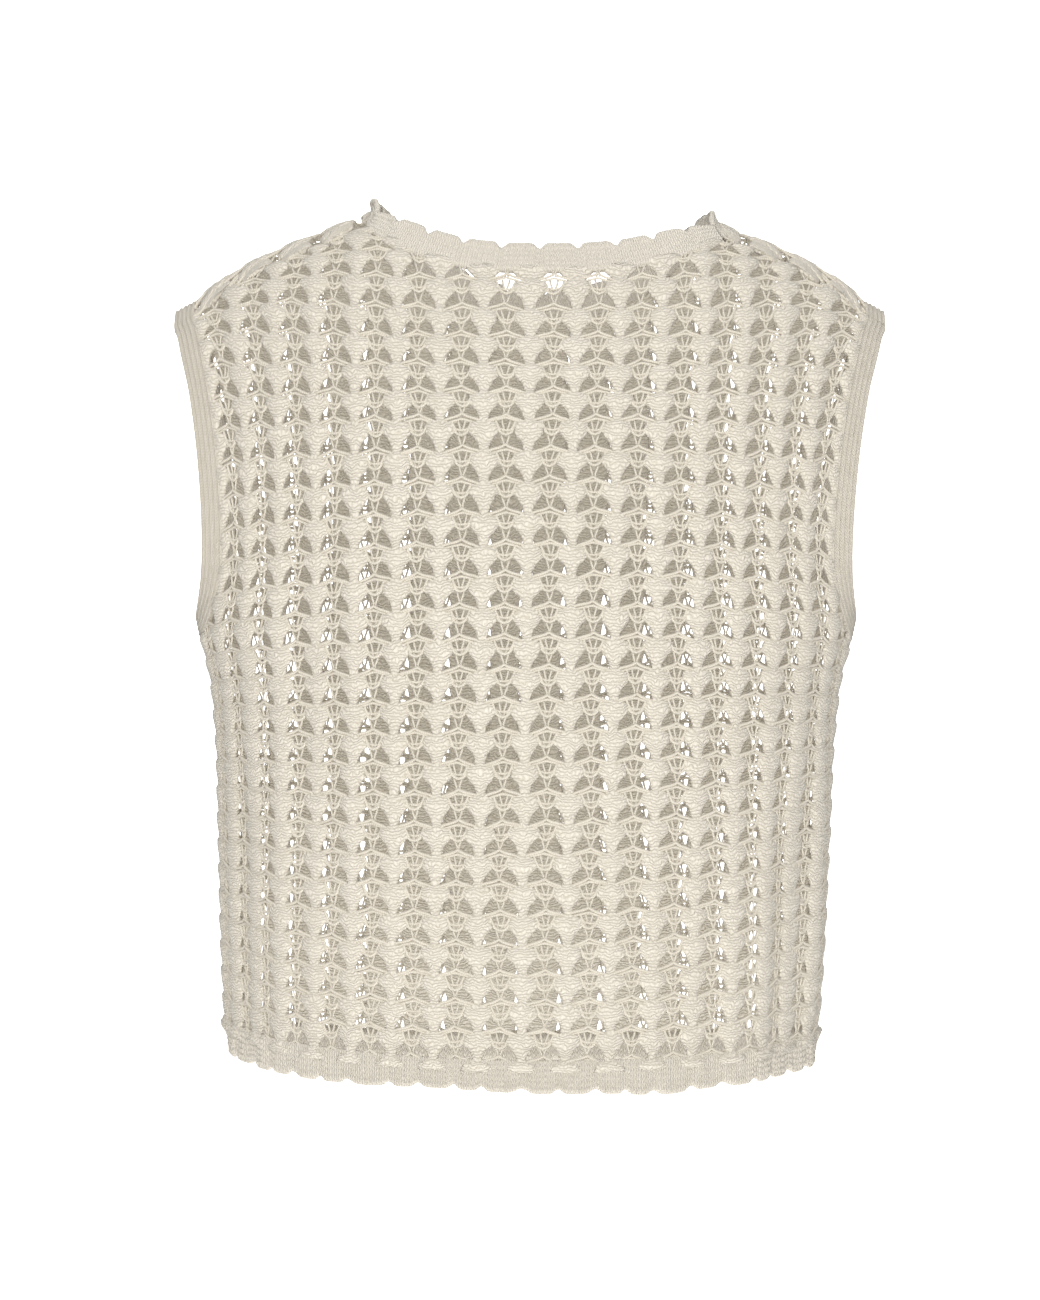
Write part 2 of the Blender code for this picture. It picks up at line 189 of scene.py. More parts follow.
def top_x(column):
    return np.sign(column) * TIP * (np.abs(column) / ARM) ** TOP_SPREAD


def column_of(x):
    """The column that reaches a distance x from the centre at the shoulder."""
    return np.sign(x) * ARM * (np.abs(x) / TIP) ** (1 / TOP_SPREAD)


print("levels", len(LEVELS), "columns", 2 * SIDE, "folds", sum(len(f) for f in FOLDS.values()))

# %% [markdown]
# ## A map of the cloth
# Every stitch needs its place on the body, so the loft is stored once as a map: for a grid
# of (column, row) it holds the point on the cloth and the direction out of it. Each level's
# ellipse is divided by length, so that columns keep their width, and near the shoulder's
# top line rows are counted along the cloth instead of by height.

# %% The map
MAP_STEP = 0.1
MAP_COLUMNS = np.arange(-SIDE, SIDE + MAP_STEP / 2, MAP_STEP)
MAP_ROWS = np.arange(-1.2, 31.0, MAP_STEP)
RIDGE_ZONE = 0.030       # nearer the top line than this, rows follow the cloth
RIDGE_CAP = 0.06 * SHOULDER_TURN        # the paths turn over this far below the top line
BELOW_HEM = 0.03         # the paths begin this far below the hem seam
LOW_POINTS, HIGH_POINTS = 140, 160
FIRST_ROW_TIPS = -0.4605


def ring_points(side, z):
    """One level's ellipse, divided by its length: points for every column of the map."""
    angle = np.linspace(0, math.pi / 2, 500)
    x = half_width(z) * np.sin(angle)
    y = depth(side, z) * np.cos(angle) * shoulder_round(ridge(x) - z)
    length = np.concatenate([[0], np.cumsum(np.hypot(np.diff(x), np.diff(y)))])
    full = (length[-1] - SIDE * COLUMN) * (ARM / SIDE) ** PULL_POWER
    open_share = np.clip((z - UNDERARM) / (ARM_TURN - UNDERARM), 0, 1)
    pull = full + (EDGE_PULL - full) * open_share
    size = np.abs(MAP_COLUMNS)
    reach = COLUMN * size + pull * (size / ARM) ** PULL_POWER
    across = np.sign(MAP_COLUMNS) * np.interp(reach, length, x)
    return np.stack([across, side * np.interp(reach, length, y), np.full(len(size), z)], axis=1)


def column_paths(side):
    """Every column's line from below the hem up over the shoulder: columns by points."""
    levels = np.linspace(HEM_SEAM - BELOW_HEM, ARM_TURN, LOW_POINTS)
    low = np.stack([ring_points(side, z) for z in levels], axis=1)
    start, end = low[:, -1, 0][:, None], top_x(MAP_COLUMNS)[:, None]
    top = ridge(end)
    share = np.linspace(0, 1, HIGH_POINTS)[None, 1:]
    z = ARM_TURN + (top - RIDGE_CAP - ARM_TURN) * share
    way = np.clip((z - ARM_TURN) / (TOP_LEVEL - ARM_TURN), 0, 1) ** 2
    x = start + (end - start) * way
    rise = np.stack([x, side * depth_at(side, x, z), z], axis=2)
    share = np.linspace(-1, 1, HIGH_POINTS)[None, 1:]
    z = top - RIDGE_CAP * share ** 2
    x = np.broadcast_to(end, z.shape)
    half = np.where(share < 0, side, -side)
    y = np.where(share < 0, depth_at(side, x, z), depth_at(-side, x, z)) * half
    over = np.stack([x, y, z], axis=2)
    return np.concatenate([low, rise, over], axis=1)


def path_lengths(paths):
    steps = np.linalg.norm(np.diff(paths, axis=1), axis=2)
    return np.concatenate([np.zeros((len(paths), 1)), np.cumsum(steps, axis=1)], axis=1)


def row_height(row, column):
    """Height of a knit row's line: level at the centre, climbing or falling to the sides."""
    share = column / SIDE
    climb, tilt = smooth_table(row, ROW_CURVE), smooth_table(row, ROW_CURVE, 2)
    return FIRST_ROW_TIPS + ROW * row + climb * share ** 2 - tilt * share


def make_map(side):
    """Points, outward normals and lengths along each column, on the map's grid."""
    paths = column_paths(side)
    lengths = path_lengths(paths)
    tops = ridge(top_x(MAP_COLUMNS))
    points = np.zeros((len(MAP_COLUMNS), len(MAP_ROWS), 3))
    along = np.zeros((len(MAP_COLUMNS), len(MAP_ROWS)))
    for i, column in enumerate(MAP_COLUMNS):
        heights = row_height(MAP_ROWS, column)
        turn = tops[i] - RIDGE_ZONE
        climb = paths[i, :, 2].argmax() + 1
        by_height = np.interp(heights, paths[i, :climb, 2], lengths[i, :climb])
        turn_row = np.interp(turn, heights, MAP_ROWS)
        turn_length = np.interp(turn, paths[i, :climb, 2], lengths[i, :climb])
        by_length = turn_length + (MAP_ROWS - turn_row) * ROW
        along[i] = np.where(heights < turn, by_height, by_length)
        for k in range(3):
            points[i, :, k] = np.interp(along[i], lengths[i], paths[i, :, k])
    points[:, :, 0] += LEAN * (points[:, :, 2] - LEAN_FROM)
    normals = outward(points, side)
    push = np.zeros(points.shape[:2])
    for place, width, middle, half_length, size in FOLDS[side]:
        across = np.exp(-((MAP_COLUMNS[:, None] - place) / width) ** 2)
        push += size * across * np.exp(-((points[:, :, 2] - middle) / half_length) ** 4)
    points = points + normals * push[:, :, None]
    return {"points": points, "normals": outward(points, side), "along": along,
            "ends": lengths[:, -1], "tops": tops, "paths": paths, "lengths": lengths}


def outward(points, side):
    """Unit normals of the map: the cross product of its two directions."""
    normal = np.cross(np.gradient(points, axis=0), np.gradient(points, axis=1)) * -side
    size = np.linalg.norm(normal, axis=2, keepdims=True)
    return normal / np.maximum(size, 1e-12)


CLOTH = {side: make_map(side) for side in (BACK, FRONT)}


def bilinear(grid, u, v):
    """A grid read between its points, never outside it."""
    u = np.clip(u, 0, grid.shape[0] - 1.001)
    v = np.clip(v, 0, grid.shape[1] - 1.001)
    i, j = u.astype(int), v.astype(int)
    fu, fv = u - i, v - j
    if grid.ndim == 3:
        fu, fv = fu[..., None], fv[..., None]
    low = grid[i, j] * (1 - fu) + grid[i + 1, j] * fu
    high = grid[i, j + 1] * (1 - fu) + grid[i + 1, j + 1] * fu
    return low * (1 - fv) + high * fv


def read_map(grid, column, row):
    return bilinear(grid, (column - MAP_COLUMNS[0]) / MAP_STEP, (row - MAP_ROWS[0]) / MAP_STEP)


def on_cloth(side, column, row, lift):
    """Points lifted off the cloth, and the outward direction at each."""
    base = read_map(CLOTH[side]["points"], column, row)
    normal = read_map(CLOTH[side]["normals"], column, row)
    normal = normal / np.linalg.norm(normal, axis=-1, keepdims=True)
    return base + normal * np.asarray(lift)[..., None], normal


print("map", CLOTH[BACK]["points"].shape)

# %% [markdown]
# ## The edges of the panels
# A panel's outline is a closed line in (column, row): along the hem, up the side seam, round
# the armhole, along the shoulder seam and round the neck. Stitches that cross it are tucked
# back to it, as they are in the seam of the real piece, where the bands cover them.

# %% Panel outlines
EDGE_SAMPLES = 60


def row_at_height(side, column, height):
    """The row at which a column reaches a height, on the near side of the shoulder."""
    i = int(round((column - MAP_COLUMNS[0]) / MAP_STEP))
    path, length = CLOTH[side]["paths"][i], CLOTH[side]["lengths"][i]
    climb = path[:, 2].argmax() + 1
    reach = np.interp(height, path[:climb, 2], length[:climb])
    return float(np.interp(reach, CLOTH[side]["along"][i], MAP_ROWS))


def row_at_seam(side, column, cut=0.0):
    """The row of the shoulder seam, or of a place that is cut back from it by a length."""
    u = np.clip((column - MAP_COLUMNS[0]) / MAP_STEP, 0, len(MAP_COLUMNS) - 1.001)
    i, f = int(u), u - int(u)

    def one(k):
        path, length = CLOTH[side]["paths"][k], CLOTH[side]["lengths"][k]
        peak = path[:, 2].argmax()
        seam_height = CLOTH[side]["tops"][k] - SEAM_DROP
        if side == BACK:
            reach = np.interp(seam_height, path[:peak + 1, 2], length[:peak + 1])
        else:
            reach = np.interp(-seam_height, -path[peak:, 2], length[peak:])
        return np.interp(reach - cut, CLOTH[side]["along"][k], MAP_ROWS)

    return float(one(i) * (1 - f) + one(min(i + 1, len(MAP_COLUMNS) - 1)) * f)


def neck_line(side):
    """The neck edge from right to left: columns and rows."""
    angle = np.linspace(0, math.pi, 2 * EDGE_SAMPLES + 1)
    power = FRONT_NECK_POWER if side == FRONT else 1.0
    share = np.sign(np.cos(angle)) * np.abs(np.cos(angle)) ** (2 / power if side == FRONT else 1.0)
    columns = column_of(NECK_SHIFT + share * NECK_HALF)
    rows = []
    for column, part, turn in zip(columns, share, angle):
        if side == FRONT:
            rows.append(row_at_seam(side, column, FRONT_NECK * math.sin(turn) ** (2 / power)))
            continue
        corner = float(ridge(NECK_SHIFT + math.copysign(NECK_HALF, part))) - SEAM_DROP
        height = BACK_NECK + (corner - BACK_NECK) * abs(part) ** BACK_NECK_POWER
        rows.append(row_at_height(side, column, height))
    return np.stack([columns, rows], axis=1)


def underarm_line(side):
    """The armhole's foot, a quarter ellipse from the side seam in to the armhole edge."""
    angle = np.linspace(0, math.pi / 2, EDGE_SAMPLES // 3)
    columns = SIDE - (SIDE - ARM) * np.sin(angle)
    heights = ARM_TURN - (ARM_TURN - UNDERARM) * np.cos(angle)
    return np.array([(c, row_at_height(side, c, z)) for c, z in zip(columns, heights)])


def outline(side):
    """The panel's whole outline, turning left from the left end of the hem."""
    hem = np.stack([np.linspace(-SIDE, SIDE, EDGE_SAMPLES), np.zeros(EDGE_SAMPLES)], axis=1)
    foot = underarm_line(side)
    neck = neck_line(side)
    shoulder = np.linspace(ARM, neck[0, 0], EDGE_SAMPLES // 2)
    right_seam = np.array([(c, row_at_seam(side, c)) for c in shoulder])
    shoulder = np.linspace(neck[-1, 0], -ARM, EDGE_SAMPLES // 2)
    left_seam = np.array([(c, row_at_seam(side, c)) for c in shoulder])
    edge_rows = np.linspace(foot[-1, 1], right_seam[0, 1], EDGE_SAMPLES // 2)[1:-1]
    right_arm = np.stack([np.full(len(edge_rows), ARM), edge_rows], axis=1)
    left_arm = right_arm[::-1] * (-1, 1)
    left_foot = foot[::-1] * (-1, 1)
    parts = [hem, foot, right_arm, right_seam, neck[1:-1], left_seam, left_arm, left_foot]
    return np.concatenate(parts)


OUTLINE = {side: outline(side) for side in (BACK, FRONT)}
SCALE = np.array([COLUMN, ROW])


def edge_distance(side, places):
    """Distance inwards from the outline (negative outside) and the nearest point on it."""
    start = OUTLINE[side] * SCALE
    step = np.roll(start, -1, axis=0) - start
    flat = places.reshape(-1, 2) * SCALE
    best = np.full(len(flat), np.inf)
    nearest = np.zeros_like(flat)
    inside = np.zeros(len(flat), bool)
    for a, d in zip(start, step):
        size = max(float(d @ d), 1e-18)
        t = np.clip(((flat - a) @ d) / size, 0, 1)
        foot = a + t[:, None] * d
        gap = np.linalg.norm(flat - foot, axis=1)
        closer = gap < best
        best[closer], nearest[closer] = gap[closer], foot[closer]
        crosses = (a[1] > flat[:, 1]) != (a[1] + d[1] > flat[:, 1])
        reach = a[0] + (flat[:, 1] - a[1]) * d[0] / (d[1] if abs(d[1]) > 1e-12 else 1e-12)
        inside ^= crosses & (flat[:, 0] < reach)
    shape = places.shape[:-1]
    signed = np.where(inside, best, -best)
    return signed.reshape(shape), (nearest / SCALE).reshape(places.shape)


TUCK_KEEP = 0.10         # share of an overshoot that is left under a band


def tuck(side, places):
    """Move places outside the outline back to it, all but a small share."""
    signed, nearest = edge_distance(side, places)
    outside = (signed < 0)[..., None]
    return np.where(outside, nearest + (places - nearest) * TUCK_KEEP, places), signed


print("outline points", {side: len(line) for side, line in OUTLINE.items()})

# %% [markdown]
# ## The openwork stitch
# One repeat is 24 mm wide and 17 mm high. Between the solid columns hang two large
# wing-shaped gaps, held apart by a thin pair of strands; under them a double arch, a crown
# of three small gaps and a bowl of two nested loops. Knitting it loop by loop would take
# millions of faces, so each strand is a thin tube along a curve given in the
# repeat's own units, and the close-knit columns are flat tubes whose width swells and
# tapers like stacked goblets.

# %% Strands of one repeat
# Each strand: radius in mm, lift in mm, pieces, and its points (column, row) from the
# middle of the repeat at the level of the wings' lower tips. Those that end in _left are
# mirrored for the right.
DRAWN = {
    "arch_upper": (0.90, 2.0, 10, [(-0.46, -0.10), (-0.36, 0.0), (-0.20, 0.065), (-0.085, 0.125),
                                   (0.0, 0.200), (0.085, 0.125), (0.20, 0.065), (0.36, 0.0),
                                   (0.46, -0.10)]),
    "arch_lower": (0.84, 1.6, 8, [(-0.43, -0.15), (-0.30, -0.055), (-0.15, 0.010), (0.0, 0.070),
                                  (0.15, 0.010), (0.30, -0.055), (0.43, -0.15)]),
    "pair_left": (0.66, 1.2, 3, [(-0.085, 0.56), (-0.062, 0.42), (-0.026, 0.28), (-0.040, 0.13)]),
    "crown_left": (0.64, 1.3, 3, [(-0.088, 0.00), (-0.074, -0.12), (-0.052, -0.22), (-0.030, -0.33)]),
    "side_left": (0.84, 1.7, 4, [(-0.225, -0.02), (-0.200, -0.13), (-0.165, -0.24), (-0.110, -0.36)]),
    "bowl_rim": (0.72, 1.5, 4, [(-0.140, -0.28), (-0.060, -0.315), (0.0, -0.325),
                                (0.060, -0.315), (0.140, -0.28)]),
    "bowl": (0.82, 1.8, 6, [(-0.175, -0.24), (-0.145, -0.36), (-0.080, -0.44), (0.0, -0.475),
                            (0.080, -0.44), (0.145, -0.36), (0.175, -0.24)]),
    "bowl_left": (0.52, 1.4, 2, [(-0.085, -0.32), (-0.055, -0.38), (-0.015, -0.45)]),
}
STRANDS = {}
for name, (radius, lift, pieces, shape) in DRAWN.items():
    STRANDS[name] = (radius, lift, pieces, shape)
    if name.endswith("_left"):
        mirrored = [(-column, row) for column, row in shape]
        STRANDS[name.replace("_left", "_right")] = (radius, lift, pieces, mirrored)
# row above the wing tips, half width in columns and bulge in mm of a solid column
GOBLET = np.array([
    (0.00, 0.115, 0.00),
    (0.15, 0.125, 0.10),
    (0.33, 0.175, 0.35),
    (0.47, 0.250, 0.65),
    (0.58, 0.330, 0.85),
    (0.66, 0.370, 1.00),
    (0.89, 0.330, 0.95),
    (0.96, 0.210, 0.40),
])
FOOT, FOOT_THICK = -0.34, 0.20          # row where the solid columns start, over the hem band
FOOT_RISE = 2.2                         # mm that they climb to lie on that band
CLOSE_SHARE, CLOSE_REACH = 0.34, 0.47   # how far, and to what half width, columns close up
FRONT_TIGHT = 0.65                      # the front is knitted tighter: its gaps are narrower
NECK_COLUMNS, NECK_EDGE = 4, 0.55       # under the neckband the last half row is knitted close
STRAND_SIDES = 4
ROUND = 12               # points round a solid column
COLUMN_LIFT = 0.9        # mm from the cloth's inner face to a solid column's middle
THICK_OUT, THICK_IN = 1.9, 0.5          # mm from there to its outer and its inner side
FLATNESS = 0.8           # power that flattens a solid column's section
SEAM_COLUMN = 9          # the last solid column, which ends at the side seam
SEAM_WIDTH, SEAM_GAP = 0.22, 0.012      # its least half width, and what it keeps off the seam
SEAM_SLOPE = 0.2         # columns from the seam side's edge back to its middle
FOOT_FADE, FOOT_CLIMB = 0.20, 0.06      # rows in which the foot thickens, and in which it climbs
END_STEP = 0.04          # rows kept free between a column's end and its next ring
END_REACH = 0.2          # columns to each side where a column's end is looked for
LAST_LACE = {BACK: 0.9, FRONT: 0.4}     # columns that the last openwork keeps off the side
REPEAT_REACH = 0.35      # rows by which a repeat's middle may lie outside the outline
MM = 0.001


def curve_through(points, pieces):
    """A cubic curve through the points, divided evenly by length."""
    points = np.array(points, float)
    knots = np.arange(len(points))
    fine = np.linspace(0, len(points) - 1, 60)
    tables = [np.stack([knots, points[:, k]], axis=1) for k in (0, 1)]
    line = np.stack([smooth_table(fine, table) for table in tables], axis=1)
    steps = np.linalg.norm(np.diff(line * SCALE, axis=0), axis=1)
    run = np.concatenate([[0], np.cumsum(steps)])
    even = np.linspace(0, run[-1], pieces + 1)
    return np.stack([np.interp(even, run, line[:, k]) for k in (0, 1)], axis=1), run[-1]


def tube_faces(lines, stations, sides):
    """Quads round many tubes and the two caps of each, by the numbers of their points."""
    base = (np.arange(lines) * stations * sides)[:, None, None]
    i = (np.arange(stations - 1) * sides)[None, :, None]
    j, k = np.arange(sides)[None, None, :], ((np.arange(sides) + 1) % sides)[None, None, :]
    quads = np.stack([base + i + j, base + i + k, base + i + sides + k, base + i + sides + j], axis=-1)
    ends = np.stack([np.arange(sides)[::-1], (stations - 1) * sides + np.arange(sides)])
    return quads.reshape(-1, 4), (base + ends).reshape(-1, sides)


def tubes(points, normals, radius, sides):
    """Closed tubes along many lines at once: rings across each line, and two end caps.

    points is lines by stations by 3. The ring at a station lies in the plane of the
    outward direction and of the direction across both it and the line.
    """
    ahead = np.gradient(points, axis=1)
    ahead /= np.maximum(np.linalg.norm(ahead, axis=2, keepdims=True), 1e-9)
    across = np.cross(ahead, normals)
    across /= np.maximum(np.linalg.norm(across, axis=2, keepdims=True), 1e-9)
    up = np.cross(across, ahead)
    angle = 2 * math.pi * np.arange(sides) / sides
    ring = up[:, :, None] * np.cos(angle)[:, None] + across[:, :, None] * np.sin(angle)[:, None]
    verts = points[:, :, None] + ring * radius
    return verts.reshape(-1, 3), *tube_faces(*points.shape[:2], sides)


print("strands in a repeat", len(STRANDS))

# %% [markdown]
# Hand-worked cotton is never quite even. Each column and each repeat is moved a little by
# numbers drawn once from a fixed seed, so the cloth comes out the same each time.

# %% Unevenness of the work
rng = np.random.default_rng(7)
ROWS = 27
COLUMN_WOBBLE = {side: rng.normal(0, 0.018, (20, ROWS)) for side in (BACK, FRONT)}
REPEAT_TWIST = {side: rng.normal(0, 0.06, (20, ROWS)) for side in (BACK, FRONT)}
STRAND_STRAY = 0.010     # how far one strand strays in its repeat, in repeats
WIDTH_STRAY = 0.05       # how far a solid column's width strays
# row, how far the stitches sag there at the centre, per side share, and per share squared
SAG = np.array([
    (0.0, 0.02, -0.09, 0.00),
    (3.0, 0.21, -0.25, -0.25),
    (8.0, 0.34, -0.33, -0.34),
    (12.0, 0.34, -0.30, -0.28),
    (17.0, 0.28, -0.10, 0.04),
    (21.0, 0.24, 0.00, 0.62),
    (25.0, 0.60, 0.06, 0.80),
])
CLOSE_FROM, CLOSE_WIDTH = 4.6, 2.4     # columns over which the openwork closes up
CLOSE_TOP, CLOSE_FADE = 15.5, 3.0      # rows: it stays open beside the armholes


def sag(column, row):
    """How far the stitches lie below the even rows, in rows."""
    share = column / SIDE
    level, tilt, bend = (np.interp(row, SAG[:, 0], SAG[:, k]) for k in (1, 2, 3))
    return level + tilt * share + bend * share ** 2


def closing(column, row):
    """Share by which the openwork closes up, where nothing stretches it below the arms."""
    side_share = np.clip((np.abs(column) - CLOSE_FROM) / CLOSE_WIDTH, 0, 1)
    return side_share * np.clip((CLOSE_TOP - row) / CLOSE_FADE, 0, 1)


def wobble(side, column, row):
    """A small sideways shift that changes smoothly from repeat to repeat."""
    return bilinear(COLUMN_WOBBLE[side], column + SIDE, row + 0.5)


def joined(*groups):
    """Each group's arrays joined to one."""
    return [np.concatenate(group) for group in groups]


def lace_middles(side, half):
    """The repeats of one half panel: middle columns and the rows of their wing tips.

    The back has a close-knit column down its centre and the front an openwork one.
    """
    first = 0.5 if side == BACK else (0.0 if half > 0 else 1.0)
    columns = np.arange(first, SIDE) * half
    rows = np.arange(0, 30)
    columns = columns[np.abs(columns) < SIDE - LAST_LACE[side]]
    places = np.stack(np.meshgrid(columns, rows, indexing="ij"), axis=-1).reshape(-1, 2)
    places[:, 1] -= sag(places[:, 0], places[:, 1])
    signed, _ = edge_distance(side, places + (0, 0.1))
    return places[signed > -REPEAT_REACH * ROW]


def lace(side, half):
    """All strands of one half panel, as points, quads and caps."""
    middles = lace_middles(side, half)
    verts, quads, caps, uvs = [], [], [], []
    count = 0
    for radius, lift, pieces, shape in STRANDS.values():
        line, size = curve_through(shape, pieces)
        places = middles[:, None, :] + line[None]
        i = (middles[:, 0] + SIDE).astype(int)
        j = np.clip(middles[:, 1], 0, ROWS - 1).astype(int)
        twist = REPEAT_TWIST[side][i, j]
        places[:, :, 0] += wobble(side, places[:, :, 0], places[:, :, 1])
        places[:, :, 1] += twist[:, None] * line[None, :, 0]
        places += rng.normal(0, STRAND_STRAY, (len(middles), 1, 2))
        places, signed = tuck(side, places)
        keep = (signed > 0).sum(axis=1) >= 2
        places = places[keep]
        lifts = np.full(places.shape[:2], lift * MM)
        points, normals = on_cloth(side, places[..., 0], places[..., 1], lifts)
        v, q, c = tubes(points, normals, radius * MM, STRAND_SIDES)
        verts.append(v)
        quads.append(q + count)
        caps.append(c + count)
        along = np.linspace(0, size / MM, pieces + 1)
        u = np.arange(STRAND_SIDES) / STRAND_SIDES
        uv = np.stack(np.broadcast_arrays(u[None, :], along[:, None]), axis=-1)
        uvs.append(np.broadcast_to(uv, (len(places), pieces + 1, STRAND_SIDES, 2)).reshape(-1, 2))
        count += len(v)
    return joined(verts, quads, caps, uvs)


# %% [markdown]
# ## The solid columns
# Between the gaps the knit is close, and each such column swells and tapers once a repeat, as
# the openwork on both sides of it narrows and widens. Each is one flat closed tube from the
# hem band to the top edge, so its swelling is real and only its courses are relief. Below
# the arms nothing stretches the cloth, so there the columns move together.

# %% Solid columns
def goblet(row):
    """Half width and bulge of a solid column at a row, repeated from row to row."""
    t = np.mod(row, 1.0)
    table = np.concatenate([GOBLET[-1:] - (1, 0, 0), GOBLET, GOBLET[:1] + (1, 0, 0)])
    return np.interp(t, table[:, 0], table[:, 1]), np.interp(t, table[:, 0], table[:, 2])


def column_end(side, column):
    """The highest row that a solid column reaches inside the outline."""
    rows = np.arange(0, 31, 0.05)
    reach = 0.0
    for shift in (-END_REACH, 0.0, END_REACH):
        places = np.stack([np.full(len(rows), column + shift), rows], axis=1)
        signed, _ = edge_distance(side, places)
        inside = rows[signed > 0]
        reach = max(reach, inside.max() if len(inside) else 0.0)
    return reach


def solid_columns(side, half):
    """Flat tubes up the close-knit columns, swelling and tapering from repeat to repeat."""
    first = (0.0 if half > 0 else 1.0) if side == BACK else 0.5
    angle = 2 * math.pi * np.arange(ROUND) / ROUND
    verts, quads, caps, uvs = [], [], [], []
    count = 0
    for k in np.arange(first, SIDE + 0.1):
        column = k * half
        end = column_end(side, column)
        stitch = (np.arange(-1, 31)[:, None] + GOBLET[None, :, 0]).ravel()
        rows = stitch - sag(column, stitch)
        inside = (rows > FOOT + END_STEP) & (rows < end - END_STEP)
        stitch = np.concatenate([[FOOT + sag(column, 0.0)], stitch[inside], [end + sag(column, end)]])
        rows = np.concatenate([[FOOT], rows[inside], [end]])
        width, bulge = goblet(stitch)
        width *= 1 + rng.normal(0, WIDTH_STRAY, len(width))
        closed = closing(column, rows)
        share = np.maximum(closed * CLOSE_SHARE, FRONT_TIGHT if side == FRONT else 0)
        if side == BACK and abs(column) <= NECK_COLUMNS:
            share = np.maximum(share, 1 - (end - rows) / NECK_EDGE)
        width += share * np.maximum(CLOSE_REACH - width, 0)
        thick = np.clip((rows - FOOT) / FOOT_FADE, FOOT_THICK, 1)
        if k == SEAM_COLUMN:
            width = np.maximum(width, SEAM_WIDTH)
        across = np.sign(np.cos(angle)) * np.abs(np.cos(angle)) ** FLATNESS
        through = np.sin(angle)
        middle = column + wobble(side, np.full(len(rows), float(column)), rows)
        c = middle[:, None] + width[:, None] * across[None]
        if k == SEAM_COLUMN:
            seam = half * (SIDE - SEAM_GAP - SEAM_SLOPE * (1 - np.abs(across[None])))
            c = np.where(across[None] * half > 0, seam, c)
        r = np.broadcast_to(rows[:, None], c.shape)
        places, _ = tuck(side, np.stack([c, np.maximum(r, 0)], axis=-1))
        places[..., 1] += np.minimum(r, 0)
        out = np.where(through > 0, THICK_OUT + bulge[:, None], THICK_IN) * through * thick[:, None]
        rise = FOOT_RISE * np.clip(-rows / FOOT_CLIMB, 0, 1)[:, None]
        lift = (COLUMN_LIFT + rise + out) * MM
        points, _ = on_cloth(side, places[..., 0], places[..., 1], lift)
        q, ends = tube_faces(1, len(rows), ROUND)
        turn = 1 if side == FRONT else -1
        verts.append(points.reshape(-1, 3))
        quads.append(q[:, ::turn] + count)
        caps.append(ends[:, ::turn] + count)
        uv = np.stack([c - column, np.broadcast_to(stitch[:, None], c.shape)], axis=-1)
        uvs.append(uv.reshape(-1, 2))
        count += len(rows) * ROUND
    return joined(verts, quads, caps, uvs)


# %% [markdown]
# ## Putting a piece together
# The tubes of half a panel become one mesh with two finishes: close knit on the solid
# columns and plied yarn on the strands. The meshes are filled from whole arrays, and each
# keeps a UV map, in repeats on the solid columns and in millimetres along the strands.

# %% Build a mesh from arrays
def mesh_piece(name, parts, materials):
    """One object from several groups of points, faces and UVs, a material for each group."""
    verts = np.concatenate([part[0] for part in parts])
    uv = np.concatenate([part[-1] for part in parts])
    loops, starts, slots = [], [], []
    offset = begin = 0
    for index, part in enumerate(parts):
        for faces in part[1:-1]:
            faces = faces + offset
            loops.append(faces.ravel())
            starts.append(begin + np.arange(len(faces)) * faces.shape[1])
            slots.append(np.full(len(faces), index))
            begin += faces.size
        offset += len(part[0])
    loops, starts, slots = joined(loops, starts, slots)
    mesh = bpy.data.meshes.new(name)
    mesh.vertices.add(len(verts))
    mesh.vertices.foreach_set("co", verts.astype(np.float32).ravel())
    mesh.loops.add(len(loops))
    mesh.loops.foreach_set("vertex_index", loops.astype(np.int32))
    mesh.polygons.add(len(starts))
    mesh.polygons.foreach_set("loop_start", starts.astype(np.int32))
    mesh.update(calc_edges=True)
    layer = mesh.uv_layers.new(name="stitches")
    layer.data.foreach_set("uv", uv[loops].astype(np.float32).ravel())
    for material in materials:
        mesh.materials.append(material)
    mesh.polygons.foreach_set("material_index", slots.astype(np.int32))
    mesh.validate()
    mesh.shade_smooth()
    piece = bpy.data.objects.new(name, mesh)
    bpy.context.scene.collection.objects.link(piece)
    triangles = sum(len(faces) * (faces.shape[1] - 2) for part in parts for faces in part[1:-1])
    print(name, "triangles", triangles)
    return piece


# %% [markdown]
# ## Finishes
# Matte cotton: no gloss, a soft sheen from the fibres. It turns darker and slightly yellow
# where the stitch pattern lies deep: painted shade in the grooves.
# On the solid columns the courses show as fine wavy ridges, nine to a repeat. A small
# helper chains math nodes, so that each pattern reads like its formula.

# %% Node helpers
def calculator(tree):
    """A function that adds one math node to a tree, fed with numbers or other nodes' outputs."""
    def calculate(operation, *values):
        node = tree.nodes.new("ShaderNodeMath")
        node.operation = operation
        for socket, value in zip(node.inputs, values):
            if isinstance(value, (int, float)):
                socket.default_value = value
            else:
                tree.links.new(value, socket)
        return node.outputs[0]
    return calculate


def noise(tree, vector, scale, detail=2.0):
    node = tree.nodes.new("ShaderNodeTexNoise")
    node.inputs["Scale"].default_value = scale
    node.inputs["Detail"].default_value = detail
    tree.links.new(vector, node.inputs["Vector"])
    return node.outputs["Fac"]


def ripple(calc, phase):
    """The size of a sine: one rounded ridge for each unit of the phase."""
    return calc("ABSOLUTE", calc("SINE", calc("MULTIPLY", phase, math.pi)))
